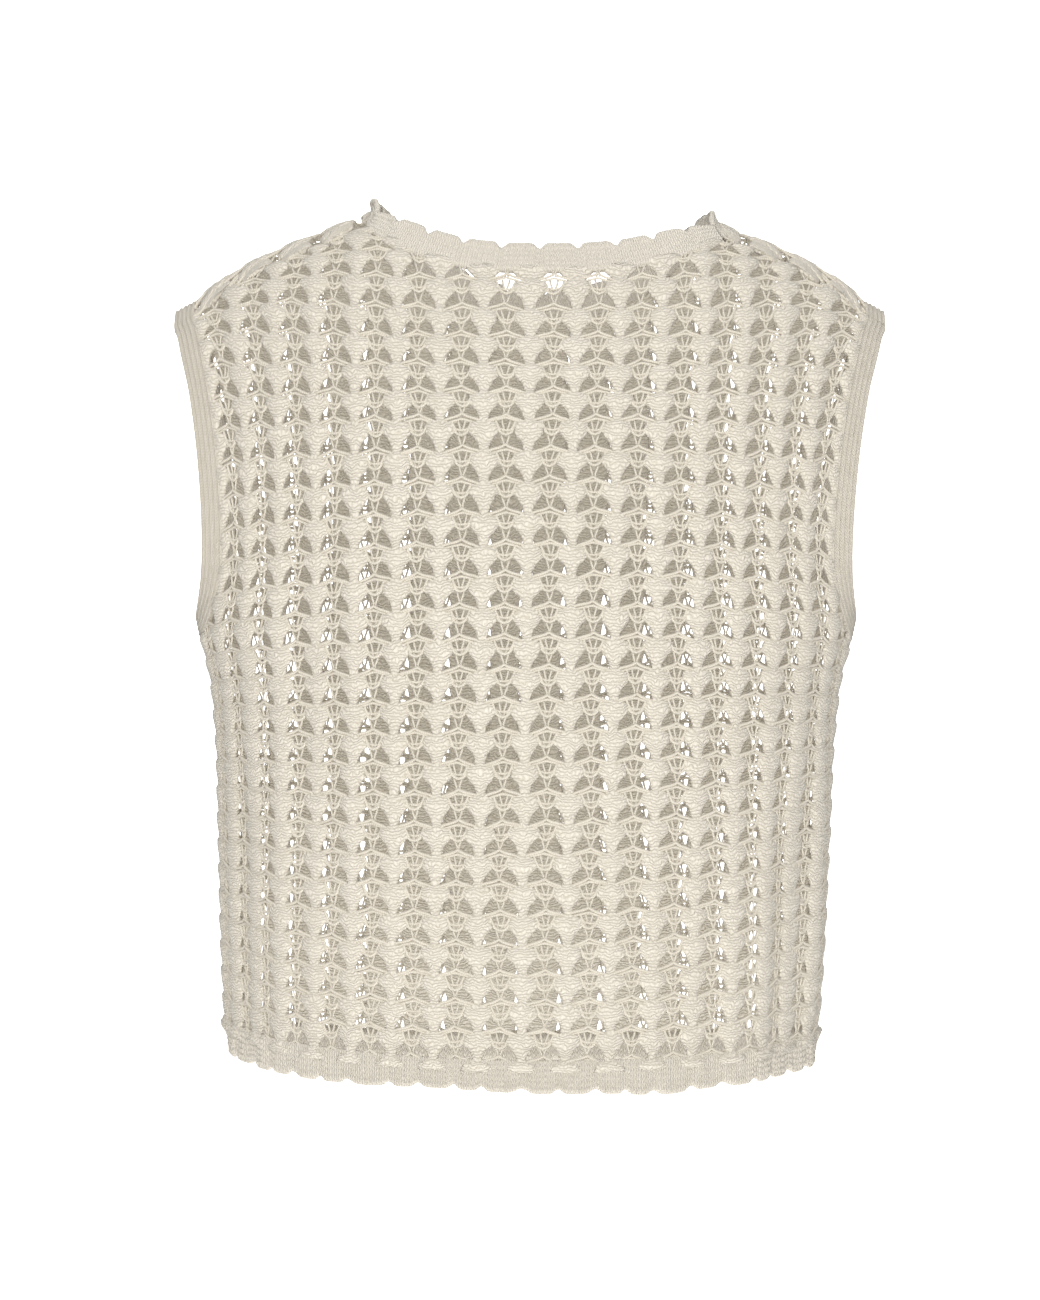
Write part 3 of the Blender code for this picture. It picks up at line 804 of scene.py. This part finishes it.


# The darker colour is painted shade where the stitch pattern lies deep, and the yarn's random uneven tone
# where the noise is low.
COTTON_LIGHT = (0.730, 0.680, 0.590, 1.0)
COTTON_DARK_TONE_AND_SHADE = (0.560, 0.508, 0.412, 1.0)
PATCH_SCALE, BLOTCH_SCALE, FIBRE_SCALE = 14.0, 170.0, 2600.0    # per metre
COURSES, WALES = 9.0, 9.0               # ridges to a repeat, up it and across it
COURSE_BEND, COURSE_DRIFT, WALE_SWAY = -7.0, 3.4, 1.5   # how far the ridges stray, in ridges
DRIFT_SCALE, SWAY_SCALE, BAND_SCALE = 210.0, 320.0, 300.0       # per metre
BAND_DRIFT = 0.35        # how far a band's stitches stray, in stitches
LEG_SLOPE, V_SLANT = 3.2, 1.6           # how steeply a V stitch's leg falls off, and how it leans
BUMP_STRENGTH, FIBRE_SHARE = 0.7, 0.25


def cotton(name):
    """A matte fabric shader, its node tree, its object places and its UV in two parts."""
    material = bpy.data.materials.new(name)
    material.use_nodes = True
    tree = material.node_tree
    shader = tree.nodes["Principled BSDF"]
    shader.inputs["Roughness"].default_value = 0.92
    shader.inputs["Specular IOR Level"].default_value = 0.25
    shader.inputs["Sheen Weight"].default_value = 0.25
    shader.inputs["Sheen Roughness"].default_value = 0.5
    place = tree.nodes.new("ShaderNodeTexCoord")
    uv = tree.nodes.new("ShaderNodeUVMap")
    uv.uv_map = "stitches"
    split = tree.nodes.new("ShaderNodeSeparateXYZ")
    tree.links.new(uv.outputs[0], split.inputs[0])
    return material, tree, shader, place.outputs["Object"], split.outputs


def finish_cotton(tree, shader, place, height, distance, painted_light_shift=0.0):
    """Colour from the pattern's height, darker where it lies deep as painted shade in the grooves, with
    the yarn's random uneven tone and a per-piece lightening or darkening that is painted light; and a bump
    of the height with fibre on top.
    """
    calc = calculator(tree)
    patch = noise(tree, place, PATCH_SCALE, 3.0)
    fibre = noise(tree, place, FIBRE_SCALE, 2.0)
    # The random blotches also carry the per-piece shift: painted light on the same yarn.
    blotches_and_painted_light = calc("MULTIPLY_ADD", noise(tree, place, BLOTCH_SCALE), 0.5, painted_light_shift - 0.37)
    tone = calc("ADD", height, calc("MULTIPLY_ADD", patch, 0.25, blotches_and_painted_light))
    clamp = tree.nodes.new("ShaderNodeClamp")
    tree.links.new(tone, clamp.inputs[0])
    mix = tree.nodes.new("ShaderNodeMix")
    mix.data_type = "RGBA"
    tree.links.new(clamp.outputs[0], mix.inputs[0])
    mix.inputs[6].default_value, mix.inputs[7].default_value = COTTON_DARK_TONE_AND_SHADE, COTTON_LIGHT
    tree.links.new(mix.outputs[2], shader.inputs["Base Color"])
    bump = tree.nodes.new("ShaderNodeBump")
    bump.inputs["Strength"].default_value = BUMP_STRENGTH
    bump.inputs["Distance"].default_value = distance
    tree.links.new(calc("MULTIPLY_ADD", fibre, FIBRE_SHARE, height), bump.inputs["Height"])
    tree.links.new(bump.outputs[0], shader.inputs["Normal"])


# %% Close knit, yarn and bands
def close_knit():
    """Nine bent courses to a repeat, each a line of short loops, set like bricks."""
    material, tree, shader, place, split = cotton("close_knit")
    calc = calculator(tree)
    bend = calc("MULTIPLY", calc("MULTIPLY", split[0], split[0]), COURSE_BEND)
    drift = calc("MULTIPLY", noise(tree, place, DRIFT_SCALE), COURSE_DRIFT)
    phase = calc("ADD", calc("ADD", calc("MULTIPLY", split[1], COURSES), bend), drift)
    wave = calc("POWER", ripple(calc, phase), 0.7)
    step = calc("MULTIPLY", calc("FLOOR", phase), 0.5)
    sway = calc("MULTIPLY", noise(tree, place, SWAY_SCALE), WALE_SWAY)
    wales = calc("ADD", calc("MULTIPLY", split[0], WALES), calc("ADD", step, sway))
    loops = calc("MULTIPLY", calc("POWER", ripple(calc, wales), 0.5), 0.55)
    height = calc("MULTIPLY", wave, calc("ADD", loops, 0.45))
    finish_cotton(tree, shader, place, height, 0.0010)
    return material


def plied_yarn():
    """Plies: stripes that run round the strand as they run along it."""
    material, tree, shader, place, split = cotton("plied_yarn")
    calc = calculator(tree)
    twist = calc("ADD", calc("MULTIPLY", split[1], 0.8), split[0])
    wave = calc("SINE", calc("MULTIPLY", twist, 2 * math.pi))
    height = calc("MULTIPLY_ADD", wave, 0.3, 0.55)
    # The strands are painted slightly darker than the close knit: painted shade.
    finish_cotton(tree, shader, place, height, 0.0002, -0.04)
    return material


def band_knit(name, deep, painted_light_shift):
    """Plain knit: chains of V stitches, one chain for each unit of U, a stitch for each V."""
    material, tree, shader, place, split = cotton(name)
    calc = calculator(tree)
    off = calc("ABSOLUTE", calc("SUBTRACT", calc("FRACT", split[0]), 0.5))
    leg = calc("ABSOLUTE", calc("SUBTRACT", off, 0.25))
    column = calc("SUBTRACT", 1.0, calc("MULTIPLY", leg, LEG_SLOPE))
    slant = calc("MULTIPLY_ADD", off, V_SLANT, split[1])
    drift = calc("MULTIPLY_ADD", noise(tree, place, BAND_SCALE), BAND_DRIFT, slant)
    height = calc("MULTIPLY", calc("POWER", ripple(calc, drift), 0.6), column)
    finish_cotton(tree, shader, place, height, deep, painted_light_shift)
    return material


CLOSE_KNIT, PLIED_YARN = close_knit(), plied_yarn()
# The bands are one yarn; the last number lightens each by painted light, the neckband most, as if lit from
# above.
NECK_KNIT = band_knit("neck_knit", 0.0014, 0.55)
HEM_KNIT = band_knit("hem_knit", 0.0016, 0.20)
ARM_KNIT = band_knit("armhole_knit", 0.0016, 0.06)
print("finishes", [m.name for m in (CLOSE_KNIT, PLIED_YARN, NECK_KNIT, HEM_KNIT, ARM_KNIT)])

# %% [markdown]
# ## The two panels
# Each panel is made as a left and a right half, which keeps every mesh light. Both halves
# replace the plain wall of the model.


NAMES = {BACK: "back", FRONT: "front"}
for side in (BACK, FRONT):
    for half, word in ((-1, "left"), (1, "right")):
        panel_name = f"{NAMES[side]}_openwork_{word}"
        parts = [solid_columns(side, half), lace(side, half)]
        piece = mesh_piece(panel_name, parts, [CLOSE_KNIT, PLIED_YARN])
        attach(piece, "root")
        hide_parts(f"{NAMES[side]}_panel")

# %% [markdown]
# ## The bands
# A band is a flat knitted strip, linked to the edge along one side. Its section is a thin
# rounded oblong, carried along the edge of the panels: across the band it follows the
# direction in which the strip stands, and through it the direction out of the cloth.

# %% Band surface
KNIT, BAND = 0.0024, 0.0030
ARMBAND_WIDTH, NECKBAND_WIDTH, HEM_DEPTH = 0.0125, 0.0160, 0.0175
ROUNDED = 0.14           # share of a band's width that its rounded edge takes
BAND_ACROSS = 25         # points across the neckband and the hem band
BAND_RISE = 0.0006       # a band lies this far outside the cloth
STITCH_DEPTH = 0.0010    # relief of the stitches of the neckband and the hem band
UNDER_PANEL = 0.0012     # and reaches this far back over its edge
NECK_UNDER = 0.0035      # the neckband reaches further
ROLL_SPREAD = 0.12       # half width of the roll along a free edge, as a share of the band
ARM_CUT, NECK_CUT, HEM_CUT = 0.014, 0.0162, 0.0187      # widths of the flat strips


def unit(vectors):
    return vectors / np.maximum(np.linalg.norm(vectors, axis=-1, keepdims=True), 1e-12)


def closed_run(points):
    """Lengths round a closed line of points, and its whole length."""
    steps = np.linalg.norm(np.roll(points, -1, axis=0) - points, axis=1)
    return np.concatenate([[0], np.cumsum(steps)[:-1]]), steps.sum()


def even_loop(arrays, count):
    """Arrays that belong to a closed line's points, read again at even lengths."""
    run, total = closed_run(arrays[0])
    at = np.arange(count) * total / count
    run = np.append(run, total)
    out = []
    for values in arrays:
        closed = np.concatenate([values, values[:1]])
        out.append(np.stack([np.interp(at, run, closed[:, k]) for k in range(3)], axis=1))
    return out, total


def soften(values, times):
    """Average each value of a closed line with its neighbours, many times."""
    for _ in range(times):
        values = (np.roll(values, 1, axis=0) + 2 * values + np.roll(values, -1, axis=0)) / 4
    return values


def section(across_count, edge):
    """A flat oblong section: share across the band and share through it, all round."""
    front = np.linspace(0.0, 1.0, across_count)
    near_end = np.clip(np.abs(2 * front - 1) - 1 + 2 * edge, 0, 1) / (2 * edge)
    rounded = np.sqrt(np.clip(1 - np.clip(near_end, 0, 1) ** 2, 0, 1))
    back = np.linspace(1.0, 0.0, max(3, across_count // 4))[1:]
    across = np.concatenate([front, back])
    through = np.concatenate([0.5 * rounded + 0.5, np.zeros(len(back))])
    through[0] = through[across_count - 1] = 0.5
    return across, through


def band_mesh(start, way, out, widths, relief, across_count, stitches):
    """A strip round a closed line. relief(across, around) adds height on the outer side."""
    across, through = section(across_count, ROUNDED)
    count = len(start)
    around = np.arange(count) / count
    a, s = np.meshgrid(across, around)
    extra = np.zeros_like(a)
    extra[:, :across_count] = relief(a[:, :across_count], s[:, :across_count])
    points = (start[:, None] + way[:, None] * (a * widths[:, None])[..., None]
              + out[:, None] * ((through[None] - 1) * BAND + extra)[..., None])
    sides = len(across)
    i = np.arange(count)[:, None]
    j = np.arange(sides)[None]
    k, m = (i + 1) % count, (j + 1) % sides
    quads = np.stack([i * sides + j, i * sides + m, k * sides + m, k * sides + j], axis=-1).reshape(-1, 4)
    uv = np.stack([s * stitches[0], a * stitches[1]], axis=-1).reshape(-1, 2)
    return points.reshape(-1, 3), quads, uv


def strip_out(line, way, cloth_out):
    """The direction through a strip: square to its line and its way, on the cloth's outer side."""
    tangent = np.roll(line, -1, axis=0) - np.roll(line, 1, axis=0)
    out = unit(np.cross(tangent, way))
    return out * np.sign((out * cloth_out).sum(axis=1, keepdims=True))


def orient(piece):
    """Turn a closed mesh's faces outwards."""
    shape = bmesh.new()
    shape.from_mesh(piece.data)
    bmesh.ops.recalc_face_normals(shape, faces=shape.faces)
    shape.to_mesh(piece.data)
    shape.free()


def ridge_along(a, place, size):
    """A low rounded ridge that runs round the band, at a share across it."""
    return size * np.exp(-((a - place) / ROLL_SPREAD) ** 2)


def stitch_relief(a, s, chains, stitches):
    """Chains of V stitches in relief: 1 on top of a stitch's leg, 0 in the gaps."""
    off = np.abs(np.mod(s * chains, 1.0) - 0.5)
    leg = 1 - LEG_SLOPE * np.abs(off - 0.25)
    return np.abs(np.sin(math.pi * (a * stitches + V_SLANT * off))) ** 0.6 * leg


def unevenness(s, a, seed, coarse):
    """A smooth random relief from -1 to 1: a few crossed waves from a fixed seed."""
    waves = np.random.default_rng(seed)
    total = np.zeros_like(a)
    for _ in range(7):
        turns, lean, start = waves.integers(coarse // 3, coarse), waves.normal(0, 6), waves.uniform(0, 6.3)
        total += np.sin(2 * math.pi * s * turns + lean * a + start)
    return total / 4


def edge_line(side, line):
    """Points of the panel's outer face along an outline's stretch, with directions out."""
    lift = np.full(len(line), KNIT)
    return on_cloth(side, line[:, 0], line[:, 1], lift)


# %% [markdown]
# ## The neckband
# A real neckband is knitted on round the neck edge, and its free edge stands up in scallops.
# Here it is one strip round that edge: it leans in at the back, and stands up and turns out
# where it passes over the shoulders, as the picture shows at both of its ends.

# %% Neckband
NECK_SCALLOPS, NECK_CHAINS, NECK_STITCHES = 26, 200, 6
NECK_SAMPLES = 1000
NECK_COVER = 0.0025      # of its width, what lies over the panel's edge
NOTCH_DEPTH, NOTCH_POWER = 0.22, 14     # of the width, and how narrow a notch is
NARROW_SIDES, NARROW_ENDS = 0.38, 0.30  # how much narrower the strip is towards its two ends
END_TURN, TURN_RUN = 0.025, 0.030       # the ends begin to turn this far behind the shoulder
TURN_OUT = {"left": 1.8, "right": 0.7}  # how far each end turns outwards from its lean
STAND, STAND_LESS = 1.9, 0.6            # how steeply it stands at the back, and less at the ends
back_neck, back_out = edge_line(BACK, neck_line(BACK))
front_neck, front_out = edge_line(FRONT, neck_line(FRONT)[::-1])
ring = np.concatenate([back_neck, front_neck[1:-1]])
ring_out = np.concatenate([back_out, front_out[1:-1]])
(neck_ring, neck_out), neck_length = even_loop([ring, ring_out], NECK_SAMPLES)
inwards = np.array([NECK_SHIFT, 0, 0]) - neck_ring
inwards[:, 2] = 0
side_share = np.clip(np.abs(neck_ring[:, 0] - NECK_SHIFT) / NECK_HALF, 0, 1)
end_share = np.clip((neck_ring[:, 1] + END_TURN) / TURN_RUN, 0, 1) * side_share ** 4
turn_out = np.where(neck_ring[:, 0] > NECK_SHIFT, TURN_OUT["right"], TURN_OUT["left"])
way = unit(inwards)
way[:, 0] *= 1 - turn_out * end_share
way[:, 2] = STAND - STAND_LESS * side_share ** 4
way = soften(unit(way), 30)
out = strip_out(neck_ring, way, neck_out)
around = np.arange(NECK_SAMPLES) / NECK_SAMPLES
dip = np.abs(np.cos(math.pi * (around * NECK_SCALLOPS))) ** NOTCH_POWER
narrower = (1 - NARROW_SIDES * side_share ** 8) * (1 - NARROW_ENDS * end_share)
widths = NECK_COVER + NECKBAND_WIDTH * (1 - NOTCH_DEPTH * dip) * narrower
start = neck_ring - way * NECK_UNDER + out * BAND_RISE


def neck_relief(a, s):
    """Stitches, a little unevenness, and a roll along the free edge."""
    stitches = STITCH_DEPTH * stitch_relief(a, s, NECK_CHAINS, NECK_STITCHES)
    return stitches + 0.0003 * unevenness(s, a, 3, 60) + ridge_along(a, 0.88, 0.0006)


neck_parts = band_mesh(start, way, out, widths, neck_relief, BAND_ACROSS,
                       (NECK_CHAINS, NECK_STITCHES))
neckband = mesh_piece("neckband_knit", [neck_parts], [NECK_KNIT])
orient(neckband)
print("neckband length", round(float(neck_length), 3), "m")

# %% [markdown]
# ## The armhole bands
# Each is a plain strip of five chains, linked round the armhole and pulled a little tight. It
# is made as one strip that stands out from the armhole's edge, and turns up under the arm.

# %% Armhole bands
def armhole_loop(sign):
    """The armhole edge, from the shoulder down the back, under the arm and up the front."""
    pieces = []
    for side in (BACK, FRONT):
        top = row_at_seam(side, ARM)
        foot = underarm_line(side)
        rows = np.linspace(top, foot[-1, 1], EDGE_SAMPLES)
        line = np.concatenate([np.stack([np.full(len(rows), ARM), rows], axis=1), foot[::-1][1:]])
        pieces.append(edge_line(side, line * (sign, 1)))
    (back, back_way), (front, front_way) = pieces
    return (np.concatenate([back[:-1], front[::-1][:-1]]),
            np.concatenate([back_way[:-1], front_way[::-1][:-1]]))


ARM_CHAINS, ARM_STITCHES = 5, 300
ARM_SAMPLES, ARM_ACROSS = 420, 31
CHAIN_DEPTH, CHAIN_SUNK = 0.0009, 0.0003
ARM_HIGH, HIGH_RUN = -0.09, 0.04        # above this height the strip begins to droop
LEAST_OUT, SPREAD_OUT, DROOP = 0.2, 0.30, 0.55


def arm_relief(a, s):
    """Five chains of stitches side by side, each a rounded ridge."""
    return CHAIN_DEPTH * np.abs(np.sin(math.pi * a * ARM_CHAINS)) - CHAIN_SUNK


for sign, word in ((-1, "left"), (1, "right")):
    (loop, loop_out), arm_length = even_loop(armhole_loop(sign), ARM_SAMPLES)
    loop, loop_out = soften(loop, 16), unit(soften(loop_out, 16))
    height = np.clip((loop[:, 2] - UNDERARM) / (ARM_TURN - UNDERARM), 0, 1)
    high = np.clip((loop[:, 2] - ARM_HIGH) / HIGH_RUN, 0, 1)
    way = np.stack([sign * (LEAST_OUT + (1 - LEAST_OUT) * height),
                    -SPREAD_OUT * np.sign(loop[:, 1]) * height * (1 - high),
                    (1 - height) ** 0.5 - DROOP * high], axis=1)
    way = unit(soften(unit(way), 24))
    out = unit(soften(strip_out(loop, way, loop_out), 8))
    start = loop - way * UNDER_PANEL + out * BAND_RISE
    arm_widths = np.full(ARM_SAMPLES, ARMBAND_WIDTH + UNDER_PANEL)
    verts, quads, uv = band_mesh(start, way, out, arm_widths, arm_relief, ARM_ACROSS,
                                 (ARM_STITCHES, ARM_CHAINS))
    armband = mesh_piece(f"armhole_band_{word}_knit", [(verts, quads, uv[:, ::-1])], [ARM_KNIT])
    orient(armband)
    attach(armband, "root")
    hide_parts(f"armhole_band_{word}")
    print("armhole band length", round(float(arm_length), 3), "m")

# %% [markdown]
# ## The hem band
# The lower edge is a strip of plain knit with a scallop to every repeat or two. It hangs
# straight down from the hem seam and curls inwards at the side seams, where nothing holds it.

# %% Hem band
HEM_SCALLOPS = 48
HEM_SAMPLES = 1720
HEM_CHAINS, HEM_STITCHES = 320, 6
HEM_CURL, CURL_FROM = 0.42, 0.80        # how far it turns in, beyond this share of the width
HEM_NOTCH, HEM_GROOVE = 0.0024, 0.0010
# column, reach in columns and size of places on the back where the band is wider or narrower
HEM_UNEVEN = ((-1.9, 1.5, -0.0018), (3.2, 0.8, 0.0020))
quarter = np.arange(HEM_SAMPLES) / HEM_SAMPLES * 4
on_back = quarter < 2
columns = np.where(on_back, (quarter - 1) * SIDE, (3 - quarter) * SIDE)
hem_rows = np.zeros(HEM_SAMPLES)
back_line, back_way = on_cloth(BACK, columns, hem_rows, np.full(HEM_SAMPLES, KNIT))
front_line, front_way = on_cloth(FRONT, columns, hem_rows, np.full(HEM_SAMPLES, KNIT))
hem_line = np.where(on_back[:, None], back_line, front_line)
hem_out = np.where(on_back[:, None], back_way, front_way)
hem_line, hem_out = soften(hem_line, 6), soften(hem_out, 12)
hem_out[:, 2] = 0
hem_out = unit(hem_out)


def hem_phase(share):
    """Scallops counted round the hem, a little uneven in width."""
    return share * HEM_SCALLOPS + 0.11 * np.sin(share * 61) + 0.08 * np.sin(share * 137 + 1)


notches = np.abs(np.cos(math.pi * hem_phase(quarter / 4))) ** 8
side_curl = HEM_CURL * np.clip((np.abs(columns) / SIDE - CURL_FROM) / (1 - CURL_FROM), 0, 1) ** 2
hem_widths = (HEM_DEPTH + UNDER_PANEL - HEM_NOTCH * notches) * (1 - 0.3 * side_curl)
for place, reach, size in HEM_UNEVEN:
    hem_widths += np.where(on_back, size * np.exp(-((columns - place) / reach) ** 2), 0)
hem_way = unit(np.array([0.0, 0.0, -1.0]) - hem_out * side_curl[:, None])


def hem_relief(a, s):
    """Stitches, a groove at each notch that fades upwards, unevenness and a rolled edge."""
    groove = -HEM_GROOVE * np.abs(np.cos(math.pi * hem_phase(s))) ** 6 * a
    stitches = STITCH_DEPTH * stitch_relief(a, s, HEM_CHAINS, HEM_STITCHES)
    return groove + stitches + 0.0005 * unevenness(s, a, 5, 90) + ridge_along(a, 0.9, 0.0005)


hem_start = hem_line - hem_way * UNDER_PANEL + hem_out * BAND_RISE
hem_parts = band_mesh(hem_start, hem_way, hem_out, hem_widths, hem_relief, BAND_ACROSS,
                      (HEM_CHAINS, HEM_STITCHES))
hem = mesh_piece("hem_band_knit", [hem_parts], [HEM_KNIT])
orient(hem)
hem_length = closed_run(hem_line)[1]
print("hem length", round(float(hem_length), 3), "m")

# %% [markdown]
# ## Attaching the bands
# The neckband and the hem band are attached to the root, in place of the model's own bands.

strips = ((neckband, "neckband", neck_length, NECK_CUT), (hem, "hem_band", hem_length, HEM_CUT))
for band, node, length, width in strips:
    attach(band, "root")
    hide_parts(node)

# %% [markdown]
# ## Studio
# The garment hangs over a plain pale floor, in front of a white surround. Two broad soft
# lights stand beside the camera, and a small one on the floor sends light up into the open
# hem, as a pale floor would. The surround shines from the camera's side, from the lit backdrop
# and from above, and hardly from the sides, so the body rounds away into soft shade.

# %% Stage and lights
FLOOR_Z, FLOOR_HALF = -1.0, 3.0


def stage_floor():
    """A square floor, well below the garment."""
    corners = ((-1, -1), (1, -1), (1, 1), (-1, 1))
    points = [(x * FLOOR_HALF, y * FLOOR_HALF, FLOOR_Z) for x, y in corners]
    mesh = bpy.data.meshes.new("floor")
    mesh.from_pydata(points, [], [(0, 1, 2, 3)])
    floor = bpy.data.objects.new("floor", mesh)
    bpy.context.scene.collection.objects.link(floor)
    paper = bpy.data.materials.new("pale_paper")
    paper.use_nodes = True
    shader = paper.node_tree.nodes["Principled BSDF"]
    shader.inputs["Base Color"].default_value = (0.93, 0.93, 0.93, 1)
    shader.inputs["Roughness"].default_value = 0.9
    mesh.materials.append(paper)
    floor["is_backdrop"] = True


def soft_light(name, place, target, size, power):
    light = bpy.data.lights.new(name, "AREA")
    light.shape = "SQUARE"
    light.size = size
    light.energy = power
    lamp = bpy.data.objects.new(name, light)
    lamp.location = place
    aim = np.array(target) - np.array(place)
    pitch = math.atan2(math.hypot(aim[0], aim[1]), -aim[2])
    lamp.rotation_euler = (pitch, 0, math.atan2(aim[1], aim[0]) - math.pi / 2)
    bpy.context.scene.collection.objects.link(lamp)


stage_floor()
MIDDLE = (0.0, 0.0, -0.24)
soft_light("key", (-0.4, -3.0, 0.45), MIDDLE, 1.3, 30.0)
soft_light("fill", (0.5, -3.0, 0.0), MIDDLE, 1.3, 16.0)
soft_light("bounce", (0.0, 0.0, -0.95), (0.0, 0.0, 0.0), 0.5, 3.0)
EVEN_GLOW, TOP_GLOW = 0.01, 1.05      # the surround all round, and added from above
FACE_GLOW, BACKDROP_GLOW = 2.15, 2.6  # added from the camera's side, and from the backdrop
NARROW, BROAD = 8.0, 1.0              # powers that narrow the light to its direction
world = bpy.data.worlds.new("surround")
world.use_nodes = True
sky = world.node_tree
calc = calculator(sky)
direction = sky.nodes.new("ShaderNodeSeparateXYZ")
sky.links.new(sky.nodes.new("ShaderNodeTexCoord").outputs["Generated"], direction.inputs[0])


def lobe(axis, sign, power, strength):
    """Light from one direction: the cosine of the angle to it, raised to a power."""
    facing = calc("MAXIMUM", calc("MULTIPLY", direction.outputs[axis], sign), 0.0)
    return calc("MULTIPLY", calc("POWER", facing, power), strength)


ahead, behind = lobe(1, -1.0, NARROW, FACE_GLOW), lobe(1, 1.0, NARROW, BACKDROP_GLOW)
above = lobe(2, 1.0, BROAD, TOP_GLOW)
glow = calc("ADD", calc("ADD", calc("ADD", ahead, behind), above), EVEN_GLOW)
seen = sky.nodes.new("ShaderNodeLightPath").outputs["Is Camera Ray"]
sky.links.new(calc("MAXIMUM", glow, seen), sky.nodes["Background"].inputs["Strength"])
sky.nodes["Background"].inputs["Color"].default_value = (1.0, 1.0, 1.0, 1.0)
bpy.context.scene.world = world
bpy.context.scene.view_settings.view_transform = "Standard"

# %% [markdown]
# ## The size of the whole
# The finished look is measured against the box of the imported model.

# %% Sizes
size = {"cad": cad_box, "visual": [list(map(float, corner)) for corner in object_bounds()]}
print("size", size)
